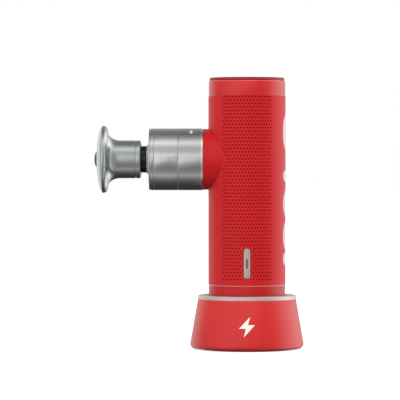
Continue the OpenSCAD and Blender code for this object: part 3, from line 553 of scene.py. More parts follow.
# Pale pink-white metal for the narrow rounded edge by the collar: a painted highlight with a pink tint.
JOINT_HIGHLIGHT_METAL = TurnedMetal("joint_painted_highlight_metal", "barrel_metal", (255, 236, 236), 0.24)
WINDOW_GREY = Window("frosted_window", "light_window", (88, 84, 98))
# Light grey seal rubber: painted light, lifting the seal as bright as the barrel round it.
SEAL_PAINTED_LIGHT_RUBBER = Rubber("seal_rubber_painted_light", "black_rubber", (166, 167, 168), 0.4)
INNER_RUBBER = Rubber("black_inner_rubber", "black_rubber", (24, 24, 25))
FOOT_RUBBER = Rubber("dark_foot_rubber", "foot_rubber", (64, 22, 22), 0.8)
BLACK_PLASTIC = Skin("black_plastic", "black_plastic", (30, 30, 32), roughness=0.4, grain_depth_mm=0.02)
GREY_PLASTIC = Skin("grey_plastic", "grey_plastic", (78, 78, 82), roughness=0.5, grain_depth_mm=0.02)
PLUG_BLACK = Skin("black_plug", "black_rubber", (44, 44, 46), roughness=0.38, grain_depth_mm=0.01)
MARK_WHITE = Skin(
    "white_print",
    "silver_ring",
    (246, 238, 230),
    roughness=0.5,
    grain_depth_mm=0.003,
    specular=0.1,
)
# White print painted greyer and pinker: painted shade where the sleeve turns away from the light.
SIDE_PRINT_SHADED = Skin(
    "side_print_painted_shade",
    "silver_ring",
    (224, 200, 201),
    roughness=0.5,
    grain_depth_mm=0.003,
    specular=0.1,
)
INDEX_GREY = Skin(
    "pale_index_print",
    "silver_ring",
    (212, 212, 212),
    roughness=0.5,
    grain_depth_mm=0.003,
    specular=0.2,
)
STEEL = PlainMetal("bright_steel", "steel", (186, 187, 190), 0.24)
ROD_STEEL = TurnedMetal("black_rod_steel", "rod_steel", (52, 54, 53), 0.3)
STATOR_STEEL = Wound("stacked_stator_steel", "stator_steel", (120, 122, 126), Axis.Z, 0.35, 1.0, 0.45)
CAST_METAL = PlainMetal("cast_metal", "cast_metal", (140, 142, 146), 0.5, 900.0, 0.03)
MAGNET = PlainMetal("plated_magnet", "magnet", (96, 97, 102), 0.32)
BRASS = PlainMetal("brass", "brass", (200, 160, 84), 0.3)
COPPER = Wound("enamelled_copper", "copper", (186, 98, 54), Axis.Z, 0.45, 0.9, 0.3)
NICKEL = PlainMetal("nickel_strip", "nickel", (176, 172, 162), 0.34)
BOARD_GREEN = Board("green_board", "board", (20, 84, 52))
CELL_WRAP = Skin("blue_cell_wrap", "cell_wrap", (40, 92, 150), roughness=0.28, grain_depth_mm=0.01)
WIRE_RED = Skin("red_wire", "wire", (176, 30, 26), roughness=0.35)
RIBBON = Wound("flat_ribbon", "ribbon", (196, 188, 170), Axis.Z, 0.6)

CAD_FINISHES: dict[str, Finish] = {
    finish.slot: finish
    for finish in (
        SLEEVE_RED, BAND_RED, LID_RED, RING_SILVER_REFLECTION, BARREL_METAL, HEAD_METAL, BUTTON_METAL, WINDOW_GREY,
        INNER_RUBBER, FOOT_RUBBER, BLACK_PLASTIC, GREY_PLASTIC, STEEL, ROD_STEEL, STATOR_STEEL, CAST_METAL,
        MAGNET, BRASS, COPPER, NICKEL, BOARD_GREEN, CELL_WRAP, WIRE_RED, RIBBON,
    )
}


# ---- Mesh work ----


def turned(outline: Outline, steps: int = 144) -> BMesh:
    """Turn a closed outline round Z, as on a lathe.

    Args:
        outline: Corners as radius, height and rounding. It may start and end on the axis.
        steps: How many stretches there are in a full turn.

    Returns:
        The turned mesh.
    """
    bm = bmesh.new()
    corners = [bm.verts.new((r, 0.0, z)) for r, z, _ in outline]
    pairs = list(zip(corners, corners[1:]))
    if outline[0][0] > 0 or outline[-1][0] > 0:
        pairs.append((corners[-1], corners[0]))
    for pair in pairs:
        bm.edges.new(pair)
    bmesh.ops.spin(
        bm,
        geom=bm.verts[:] + bm.edges[:],
        cent=(0, 0, 0),
        axis=(0, 0, 1),
        angle=math.tau,
        steps=steps,
        use_merge=True,
        use_duplicate=False,
    )
    bmesh.ops.remove_doubles(bm, verts=bm.verts[:], dist=1e-4)
    bmesh.ops.recalc_face_normals(bm, faces=bm.faces[:])
    for r, z, rounding in outline:
        if rounding:
            soften(bm, [e for e in bm.edges if all(on_ring(v, r, z) for v in e.verts)], rounding)
    return bm


def on_ring(vert: BMVert, r: float, z: float) -> bool:
    """Tell whether a vertex lies on the ring of that radius and height."""
    return abs(math.hypot(vert.co.x, vert.co.y) - r) < SAME_PLACE and abs(vert.co.z - z) < SAME_PLACE


def soften(bm: BMesh, edges: Sequence[BMEdge], width: float, segments: int = 3) -> None:
    """Round some edges.

    Args:
        bm: The mesh.
        edges: The edges.
        width: How far the rounding reaches, in millimetres.
        segments: How many stretches it has.
    """
    bmesh.ops.bevel(
        bm,
        geom=list(edges),
        offset=width,
        offset_type="OFFSET",
        segments=segments,
        profile=0.5,
        affect="EDGES",
        clamp_overlap=True,
        material=-1,
    )


def arc(
    centre: tuple[float, float],
    radii: tuple[float, float],
    start: float,
    end: float,
    steps: int,
) -> list[tuple[float, float, float]]:
    """Lay corners of an outline along part of an ellipse.

    Args:
        centre: Its centre, as radius and height.
        radii: Its two half widths.
        start: The first angle, in degrees.
        end: The last angle, in degrees.
        steps: How many stretches there are.

    Returns:
        The corners, with no rounding of their own.
    """
    angles = [math.radians(start + (end - start) * i / steps) for i in range(steps + 1)]
    return [(centre[0] + radii[0] * math.cos(a), centre[1] + radii[1] * math.sin(a), 0.0) for a in angles]


def pill(width: float, length: float, foot: float, top: float, segments: int = 40) -> BMesh:
    """Make a block with round ends, standing on the XY plane and long in Y.

    Args:
        width: Its width.
        length: Its whole length.
        foot: The height of its foot.
        top: The height of its top.
        segments: How many stretches its two ends have together.

    Returns:
        The block.
    """
    bm = bmesh.new()
    half = math.pi / segments
    bmesh.ops.create_circle(
        bm,
        cap_ends=True,
        segments=segments,
        radius=width / 2 / math.cos(half),
        matrix=Matrix.Translation((0, 0, foot)) @ Matrix.Rotation(half, 4, "Z"),
    )
    for sign in (-1, 1):
        end = [v for v in bm.verts if v.co.y * sign > 0]
        bmesh.ops.translate(bm, verts=end, vec=(0, sign * (length - width) / 2, 0))
    raise_faces(bm, bm.faces[:], Vector((0, 0, top - foot)))
    bmesh.ops.recalc_face_normals(bm, faces=bm.faces[:])
    return bm


def raise_faces(bm: BMesh, faces: Sequence[BMFace], step: Vector) -> list[BMFace]:
    """Extrude faces and move what was extruded.

    Args:
        bm: The mesh.
        faces: The faces.
        step: How far they move.

    Returns:
        The moved faces.
    """
    made = bmesh.ops.extrude_face_region(bm, geom=list(faces), use_keep_orig=True)["geom"]
    bmesh.ops.translate(bm, verts=[g for g in made if isinstance(g, BMVert)], vec=step)
    return [g for g in made if isinstance(g, BMFace)]


def rim_edges(bm: BMesh, z: float, sharp: float = 40.0) -> list[BMEdge]:
    """Find the sharp edges at a height.

    Args:
        bm: The mesh.
        z: The height.
        sharp: The least angle between an edge's faces, in degrees.

    Returns:
        The edges.
    """
    level = [e for e in bm.edges if all(abs(v.co.z - z) < 1e-3 for v in e.verts)]
    return [e for e in level if len(e.link_faces) == 2 and e.calc_face_angle(0.0) > math.radians(sharp)]


def rod(radius: float, foot: float, top: float, place: Matrix | None = None, segments: int = 48) -> BMesh:
    """Make a plain round cutter.

    Args:
        radius: Its radius.
        foot: The height of its foot.
        top: The height of its top.
        place: Where it goes, or nothing for the origin.
        segments: How many sides it has.

    Returns:
        The cutter.
    """
    bm = bmesh.new()
    middle = Matrix.Translation((0, 0, (foot + top) / 2))
    bmesh.ops.create_cone(
        bm,
        cap_ends=True,
        segments=segments,
        radius1=radius,
        radius2=radius,
        depth=top - foot,
        matrix=(place or Matrix.Identity(4)) @ middle,
    )
    return bm


def moved(bm: BMesh, place: Matrix) -> BMesh:
    """Move a mesh.

    Args:
        bm: The mesh.
        place: The matrix that it is moved by.

    Returns:
        The same mesh.
    """
    bmesh.ops.transform(bm, matrix=place, verts=bm.verts[:])
    return bm


def scratch_object(bm: BMesh, name: str) -> bpy.types.Object:
    """Put a mesh in the scene for a moment.

    Args:
        bm: The mesh. It is used up.
        name: The object's name.

    Returns:
        The object.
    """
    mesh = bpy.data.meshes.new(name)
    bm.to_mesh(mesh)
    bm.free()
    made = bpy.data.objects.new(name, mesh)
    bpy.context.scene.collection.objects.link(made)
    return made


def carved(bm: BMesh, cutters: Sequence[BMesh]) -> BMesh:
    """Cut closed meshes out of a closed mesh.

    Args:
        bm: The mesh. It is used up.
        cutters: What is cut out. They are used up.

    Returns:
        What is left.
    """
    body = scratch_object(bm, "carved")
    tools = [scratch_object(cutter, f"cutter{i}") for i, cutter in enumerate(cutters)]
    for tool in tools:
        cut = body.modifiers.new(tool.name, "BOOLEAN")
        cut.operation = "DIFFERENCE"
        cut.solver = "EXACT"
        cut.object = tool
    bpy.context.view_layer.update()
    finished = body.evaluated_get(bpy.context.evaluated_depsgraph_get())
    left = bmesh.new()
    left.from_mesh(finished.to_mesh())
    finished.to_mesh_clear()
    for used in [body, *tools]:
        mesh = used.data
        bpy.data.objects.remove(used)
        bpy.data.meshes.remove(mesh)
    return left


@dataclass(frozen=True)
class Give:
    """A springy piece's give: the body its far end follows, and the heights it gives between."""

    body: str
    foot: float
    top: float


def show(
    name: str,
    bm: BMesh,
    finishes: Sequence[Finish],
    body: str,
    stands_for: Sequence[str] = (),
    sharp: float = 32.0,
    mirrored: bool = True,
    give: Give | None = None,
) -> bpy.types.Object:
    """Make a finished piece from a mesh in millimetres.

    Args:
        name: The piece's name.
        bm: Its mesh, in place. It is used up.
        finishes: Its finishes, in the order of the mesh's material numbers.
        body: The CAD body it rides on.
        stands_for: The CAD nodes it is shown in place of.
        sharp: The angle above which an edge stays crisp, in degrees.
        mirrored: Whether shiny pieces mirror it. The red ones are held back, so the metal stays clean.
        give: The spring's give, or nothing for a stiff piece. A piece with give is baked in place and not
            attached to its body.

    Returns:
        The piece.
    """
    bmesh.ops.scale(bm, vec=(MM, MM, MM), verts=bm.verts[:])
    mesh = bpy.data.meshes.new(name)
    bm.to_mesh(mesh)
    bm.free()
    mesh.shade_smooth()
    mesh.set_sharp_from_angle(angle=math.radians(sharp))
    for finish in finishes:
        mesh.materials.append(finish.material())
    piece = bpy.data.objects.new(name, mesh)
    piece.visible_glossy = mirrored
    bpy.context.scene.collection.objects.link(piece)
    if give is None:
        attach(piece, body)
    else:
        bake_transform(piece)
    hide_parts(*stands_for)
    LOG.info("%s rides on %s, %d faces", name, body, len(mesh.polygons))
    return piece


# ---- Grip ----


@dataclass
class PerforatedSleeve:
    """The soft red sleeve with its two panels of small round pits."""

    columns: int = 152
    rows: int = 54
    first_row: float = 46.0
    row_pitch: float = 2.2085
    panel_half: int = 16
    pit_r: float = 0.6
    pit_edge: float = 0.08
    pit_depth: float = 0.4
    pit_taper: float = 0.02
    wall: float = 1.35
    collar_gap: float = 0.1
    pill_margin: float = 2.1
    pill_gap: float = 0.7
    radius: float = field(init=False)
    foot: float = field(init=False)
    top: float = field(init=False)
    collar_r: float = field(init=False)
    pill_size: tuple[float, float] = field(init=False)

    def __post_init__(self) -> None:
        """Take the sleeve's places from the CAD frame."""
        self.radius = span("grip_sleeve", 0)[1]
        self.foot, self.top = span("grip_sleeve", 2)
        self.collar_r = span("neck_collar", 1)[1]
        self.pill_size = (2 * span("button_bezel", 0)[1], 2 * (span("button_bezel", 2)[1] - BUTTON_Z))

    def levels(self) -> list[float]:
        """List the heights of the mesh's rings above its foot.

        Returns:
            The heights, from the lowest up.
        """
        rows = [self.first_row + i * self.row_pitch for i in range(self.rows)]
        return [self.foot + 1.2, *rows, self.top]

    def tube(self) -> BMesh:
        """Make the sleeve's wall, with a vertex at the place of every pit.

        Returns:
            A closed tube.
        """
        bm = bmesh.new()
        bmesh.ops.create_circle(
            bm,
            cap_ends=False,
            segments=self.columns,
            radius=self.radius,
            matrix=Matrix.Translation((0, 0, self.foot)),
        )
        edge, height = bm.edges[:], self.foot
        for level in self.levels():
            grown = bmesh.ops.extrude_edge_only(bm, edges=edge)["geom"]
            ring = [g for g in grown if isinstance(g, BMVert)]
            bmesh.ops.translate(bm, verts=ring, vec=(0, 0, level - height))
            edge = [g for g in grown if isinstance(g, BMEdge) and g.is_boundary]
            height = level
        bmesh.ops.recalc_face_normals(bm, faces=bm.faces[:])
        outward = bm.faces[0].calc_center_median() * Vector((1, 1, 0))
        if bm.faces[0].normal.dot(outward) < 0:
            bmesh.ops.reverse_faces(bm, faces=bm.faces[:])
        bmesh.ops.solidify(bm, geom=bm.faces[:], thickness=self.wall)
        return bm

    def is_pit(self, vert: BMVert) -> bool:
        """Tell whether a vertex on the skin is the middle of a pit.

        Args:
            vert: The vertex.

        Returns:
            True if a pit goes there.
        """
        if abs(math.hypot(vert.co.x, vert.co.y) - self.radius) > 1e-3:
            return False
        row = (vert.co.z - self.first_row) / self.row_pitch
        column = math.degrees(math.atan2(vert.co.x, abs(vert.co.y))) * self.columns / 360
        if abs(row - round(row)) > 1e-3 or abs(column - round(column)) > 1e-2:
            return False
        if not -0.5 < row < self.rows - 0.5:
            return False
        if abs(column) > self.panel_half + 0.5 or (round(row) + round(column)) % 2:
            return False
        return not (self.near_pill(vert.co) or self.near_collar(vert.co))

    def near_pill(self, at: Vector) -> bool:
        """Tell whether a place is within the plain margin round the button.

        Args:
            at: The place.

        Returns:
            True if no pit goes there.
        """
        width, length = self.pill_size
        straight = max(0.0, abs(at.z - BUTTON_Z) - (length - width) / 2)
        across = self.radius * math.atan2(at.x, abs(at.y))
        return at.y < 0 and math.hypot(across, straight) < width / 2 + self.pill_margin

    def near_collar(self, at: Vector) -> bool:
        """Tell whether a place is within the opening for the barrel.

        Args:
            at: The place.

        Returns:
            True if no pit goes there.
        """
        return at.x < 0 and math.hypot(at.y, at.z - AXIS_Z) < self.collar_r + 1.0

    def shade_button_gap(self, bm: BMesh) -> None:
        """Give the walls of the button's opening the pits' dark red, as painted shade in the gap round the
        button.

        Args:
            bm: The sleeve.
        """
        across, up = (size / 2 + self.pill_gap for size in self.pill_size)
        for face in bm.faces:
            at = face.calc_center_median()
            inside = abs(at.x) < across and abs(at.z - BUTTON_Z) < up and at.y < 0
            if inside and abs(face.normal.y) < 0.3:
                face.material_index = 1

    def sink_pits(self, bm: BMesh) -> None:
        """Turn each pit's vertex into a round pit with a small eased edge.

        Args:
            bm: The sleeve.
        """
        centres = {v.index: v.co.copy() for v in bm.verts if self.is_pit(v)}
        middles = [v for v in bm.verts if v.index in centres]
        cut = bmesh.ops.bevel(
            bm,
            geom=middles,
            offset=self.pit_r,
            offset_type="OFFSET",
            segments=1,
            profile=0.5,
            affect="VERTICES",
            clamp_overlap=False,
            material=-1,
        )
        faces = [f for f in cut["faces"] if f.is_valid]
        middle_of = {f: self.snapped(f.calc_center_median()) for f in faces}
        bmesh.ops.bisect_edges(bm, edges=list({e for f in faces for e in f.edges}), cuts=2)
        for face, middle in middle_of.items():
            for vert in face.verts:
                self.round_off(vert, middle)
        for width, depth in ((self.pit_edge, -self.pit_edge), (self.pit_taper, -self.pit_depth)):
            bmesh.ops.inset_individual(
                bm,
                faces=faces,
                thickness=width,
                depth=depth,
                use_even_offset=True,
            )
        for face in faces:
            face.material_index = 1
            for edge in face.edges:
                for wall in edge.link_faces:
                    wall.material_index = 1

    def snapped(self, at: Vector) -> tuple[float, float]:
        """Find the grid place nearest to a point.

        Args:
            at: The point.

        Returns:
            The place's angle and height.
        """
        step = math.tau / self.columns
        row = round((at.z - self.first_row) / self.row_pitch)
        return round(math.atan2(at.x, -at.y) / step) * step, self.first_row + row * self.row_pitch

    def round_off(self, vert: BMVert, middle: tuple[float, float]) -> None:
        """Bring a vertex of a pit's edge onto its circle.

        Args:
            vert: The vertex.
            middle: The pit's angle and height.
        """
        turn = (math.atan2(vert.co.x, -vert.co.y) - middle[0] + math.pi) % math.tau - math.pi
        across, up = turn * self.radius, vert.co.z - middle[1]
        length = math.hypot(across, up)
        angle = middle[0] + across / length * self.pit_r / self.radius
        height = middle[1] + up / length * self.pit_r
        vert.co = (self.radius * math.sin(angle), -self.radius * math.cos(angle), height)

    def build(self) -> None:
        """Make the sleeve and show it."""
        width, length = self.pill_size
        barrel_way = rod(self.collar_r + self.collar_gap, 8, self.radius + 10, ALONG_BARREL, 96)
        opening = pill(width + self.pill_gap, length + self.pill_gap, 10, self.radius + 10)
        button_way = moved(opening, OUT_OF_BUTTON)
        bm = carved(self.tube(), [barrel_way, button_way])
        bm.verts.index_update()
        self.shade_button_gap(bm)
        self.sink_pits(bm)
        show("grip_sleeve_skin", bm, [SLEEVE_RED, PIT_RED_AND_GAP_SHADE], "gun", ["grip_sleeve"], mirrored=False)


@dataclass
class Grip:
    """The grip's bands, trim ring, lid, cup and side marks."""

    trim_depth: float = 1.3
    trim_soft: float = 0.3
    seam_soft: float = 0.22
    rim_soft: float = 0.55
    lid_gap: float = 0.3
    lid_plug_inset: float = 2.6
    lid_border: float = 2.2
    lid_slope: float = 0.6
    lid_fine: float = 0.12
    lid_soft: float = 0.7
    dish: float = 0.25
    cup_wall: float = 2.0
    floor_t: float = 2.4
    screw_head_r: float = 1.9
    screw_recess: float = 1.3
    hole_gap: float = 0.2
    cup_soft: float = 0.8
    mark_spans: tuple[tuple[float, float], ...] = (
        (128.3, 152.6),
        (108.9, 115.4),
        (85.2, 103.7),
        (63.5, 83.6),
        (54.4, 62.8),
    )
    mark_half_deg: float = 21.5
    mark_t: float = 0.05
    sleeve: PerforatedSleeve = field(default_factory=PerforatedSleeve)

    def build(self) -> None:
        """Make every piece of the grip."""
        self.sleeve.build()
        self.trim_ring()
        self.top_band()
        self.lid()
        self.cup()
        self.side_marks()

    def trim_ring(self) -> None:
        """Make the thin polished ring under the sleeve, all in a pale pink that paints the highlight along
        it.
        """
        radius = span("grip_trim_ring", 0)[1]
        foot, top = span("grip_trim_ring", 2)
        inner = radius - self.trim_depth
        outline = [
            (inner, foot, 0),
            (radius, foot, self.trim_soft),
            (radius, top, self.trim_soft),
            (inner, top, 0),
        ]
        show("grip_trim_edge", turned(outline), [TRIM_PAINTED_HIGHLIGHT], "gun", ["grip_trim_ring"], mirrored=False)

    def top_band(self) -> None:
        """Make the smooth band above the sleeve, with a pale pink painted highlight on the faces of its
        rounded top edge.
        """
        radius = span("top_ring", 0)[1]
        foot, top = span("top_ring", 2)
        inner = self.sleeve.radius - self.sleeve.wall + 0.05
        outline = [
            (inner, foot, 0),
            (radius, foot, self.seam_soft),
            (radius, top, self.rim_soft),
            (inner, top, 0),
        ]
        bm = turned(outline)
        # The faces on the rounded top edge take the pale pink painted highlight.
        for face in bm.faces:
            if face.calc_center_median().z > top - self.rim_soft and 0.2 < face.normal.z < 0.97:
                face.material_index = 1
        show("top_band", bm, [BAND_RED, RIM_PAINTED_HIGHLIGHT], "gun", ["top_ring"], mirrored=False)

    def lid(self) -> None:
        """Make the lid, slightly dished, with a rounded edge and its plug."""
        edge = span("top_lid", 0)[1]
        foot, top = span("top_lid", 2)
        seat = span("top_ring", 2)[1] + self.lid_gap
        plug_r = edge - self.lid_plug_inset
        border = edge - self.lid_border
        outline = [
            (0, foot, 0),
            (plug_r, foot, 0.3),
            (plug_r, seat, 0),
            (edge, seat, 0.15),
            (edge, top, self.lid_soft),
            (border, top, self.lid_fine),
            (border - self.lid_slope, top - self.dish, self.lid_fine),
            (0, top - self.dish, 0),
        ]
        show("top_lid_disc", turned(outline), [LID_RED], "gun", ["top_lid"], mirrored=False)

    def cup(self) -> None:
        """Make the bottom cup with its openings for the charging pads and screws, in a red darkened as
        painted shade from the dock well.
        """
        radius = span("bottom_cap", 0)[1]
        foot, top = span("bottom_cap", 2)
        inner = radius - self.cup_wall
        outline = [
            (0, foot, 0),
            (radius, foot, self.cup_soft),
            (radius, top, self.seam_soft),
            (inner, top, 0),
            (inner, foot + self.floor_t, 0),
            (0, foot + self.floor_t, 0),
        ]
        pads = [rod(r, foot - 1, foot + 4, Matrix.Translation((x, 0, 0))) for x, r in self.pad_places()]
        screws = [
            rod(r, foot - 1, foot + self.screw_recess, Matrix.Translation((x, y, 0)))
            for x, y, r in self.screw_places()
        ]
        bm = carved(turned(outline), pads + screws)
        show("bottom_cup", bm, [CUP_RED_SHADED], "gun", ["bottom_cap"], mirrored=False)

    def pad_places(self) -> list[tuple[float, float]]:
        """List the openings for the charging pads.

        Returns:
            Each opening's X and radius.
        """
        reach_x = span("charge_pads", 0)[1]
        half = span("charge_pads", 1)[1]
        outer = reach_x - half
        return [(x, half + self.hole_gap) for x in (-outer, 0.0, outer)]

    def screw_places(self) -> list[tuple[float, float, float]]:
        """List the recesses for the cup's screws.

        Returns:
            Each recess's X, Y and radius.
        """
        ring = -span("bottom_cap_screws", 1)[0] - self.screw_head_r
        angles = [math.radians(turn) for turn in (30, 150, 270)]
        radius = self.screw_head_r + self.hole_gap
        return [(ring * math.cos(a), ring * math.sin(a), radius) for a in angles]

    def side_marks(self) -> None:
        """Print plain rounded bars down the side away from the barrel, their white painted greyer and
        pinker as shade where the sleeve turns away.
        """
        made = bmesh.new()
        for low, high in self.mark_spans:
            width = 2 * math.radians(self.mark_half_deg) * self.sleeve.radius
            bar = self.bar(width, high - low, (low + high) / 2)
            mesh = bpy.data.meshes.new("bar")
            bar.to_mesh(mesh)
            bar.free()
            made.from_mesh(mesh)
            bpy.data.meshes.remove(mesh)
        show("side_bars", made, [SIDE_PRINT_SHADED], "gun")

    def bar(self, width: float, height: float, middle: float) -> BMesh:
        """Make one printed bar, bent round the sleeve.

        Args:
            width: Its width round the sleeve.
            height: Its height.
            middle: The height of its middle.

        Returns:
            The bar, with a thickness of its own.
        """
        bm = bmesh.new()
        bmesh.ops.create_grid(bm, x_segments=1, y_segments=1, size=0.5)
        bmesh.ops.scale(bm, vec=(width, height, 1), verts=bm.verts[:])
        bmesh.ops.bevel(
            bm,
            geom=bm.verts[:],
            offset=min(width, height) * 0.49,
            offset_type="OFFSET",
            segments=10,
            profile=0.5,
            affect="VERTICES",
            clamp_overlap=True,
            material=-1,
        )
        for i in range(-8, 9):
            geometry = bm.verts[:] + bm.edges[:] + bm.faces[:]
            bmesh.ops.bisect_plane(bm, geom=geometry, plane_co=(i * width / 18, 0, 0), plane_no=(1, 0, 0))
        raise_faces(bm, bm.faces[:], Vector((0, 0, self.mark_t)))
        bmesh.ops.recalc_face_normals(bm, faces=bm.faces[:])
        for vert in bm.verts:
            turn = vert.co.x / self.sleeve.radius
            out = self.sleeve.radius + 0.01 + vert.co.z
            vert.co = (out * math.cos(turn), out * math.sin(turn), middle + vert.co.y)
        return bm


# ---- Button ----


@dataclass
class ButtonUnit:
    """The long metal button, its surround and its light window."""

    bezel_edge: float = 0.2
    bezel_gap: float = 0.3
    inner_edge: float = 0.12
    button_edge: float = 0.35
    slit_gap: float = 0.05
    button_gap: float = 0.12
    button_t: float = 1.6
    slit_depth: float = 0.95
    window_soft: float = 0.12
    crisp: float = 15.0

    def build(self) -> None:
        """Make the surround, the button and the window."""
        self.bezel()
        self.button()
        self.window()

    def depths(self, node: str) -> tuple[float, float]:
        """Find how far a node reaches from the grip's axis towards the front.

        Args:
            node: The CAD node's name.

        Returns:
            Its nearest and furthest distance.
        """
        low, high = span(node, 1)
        return -high, -low

    def size(self, node: str) -> tuple[float, float]:
        """Find the width and length of a node seen from the front.

        Args:
            node: The CAD node's name.

        Returns:
            Its width along X and its length along Z.
        """
        across, up = span(node, 0), span(node, 2)
        return across[1] - across[0], up[1] - up[0]

    def bezel(self) -> None:
        """Make the surround."""
        width, length = (size - self.bezel_gap for size in self.size("button_bezel"))
        near, far = self.depths("button_bezel")
        inner_w, inner_len = self.size("speed_button")
        opening = pill(inner_w + self.button_gap, inner_len + self.button_gap, near - 1, far + 1)
        bm = carved(pill(width, length, near, far), [opening])
        edges = rim_edges(bm, far)
        soften(bm, [e for e in edges if self.is_outer(e, width, inner_w)], self.bezel_edge)
        inside = [e for e in rim_edges(bm, far) if not self.is_outer(e, width, inner_w)]
        soften(bm, inside, self.inner_edge, 2)
        placed = moved(bm, OUT_OF_BUTTON)
        # The surround takes the pale pink-white metal, a painted highlight.
        show("button_surround", placed, [SURROUND_PAINTED_HIGHLIGHT], "gun", ["button_bezel"], self.crisp)

    def is_outer(self, edge: BMEdge, outer: float, inner: float) -> bool:
        """Tell whether an edge lies on the outer outline of the surround.

        Args:
            edge: The edge.
            outer: The surround's width.
            inner: The button's width.

        Returns:
            True if it is nearer to the outer outline than to the inner one.
        """
        middle = (edge.verts[0].co + edge.verts[1].co) / 2
        length = self.size("button_bezel")[1] - self.bezel_gap
        straight = max(0.0, abs(middle.y) - (length - outer) / 2)
        return math.hypot(middle.x, straight) > (outer + inner) / 4

    def button(self) -> None:
        """Make the button with its eased edge and its slit."""
        width, length = self.size("speed_button")
        far = self.depths("speed_button")[1]
        slit_w, slit_len = self.size("button_light")
        block = pill(width, length, far - self.button_t, far)
        soften(block, rim_edges(block, far), self.button_edge, 4)
        foot = far - self.slit_depth
        slit = pill(slit_w + self.slit_gap, slit_len + self.slit_gap, foot, far + 1)
        bm = moved(carved(block, [slit]), OUT_OF_BUTTON)
        show("speed_button_cap", bm, [BUTTON_METAL], "button", ["speed_button"], self.crisp)

    def window(self) -> None:
        """Make the frosted window in the slit."""
        width, length = self.size("button_light")
        near, far = self.depths("button_light")
        bm = pill(width, length, near, far)
        soften(bm, rim_edges(bm, far), self.window_soft, 2)
        show("button_window", moved(bm, OUT_OF_BUTTON), [WINDOW_GREY], "button", ["button_light"])


# ---- Barrel ----


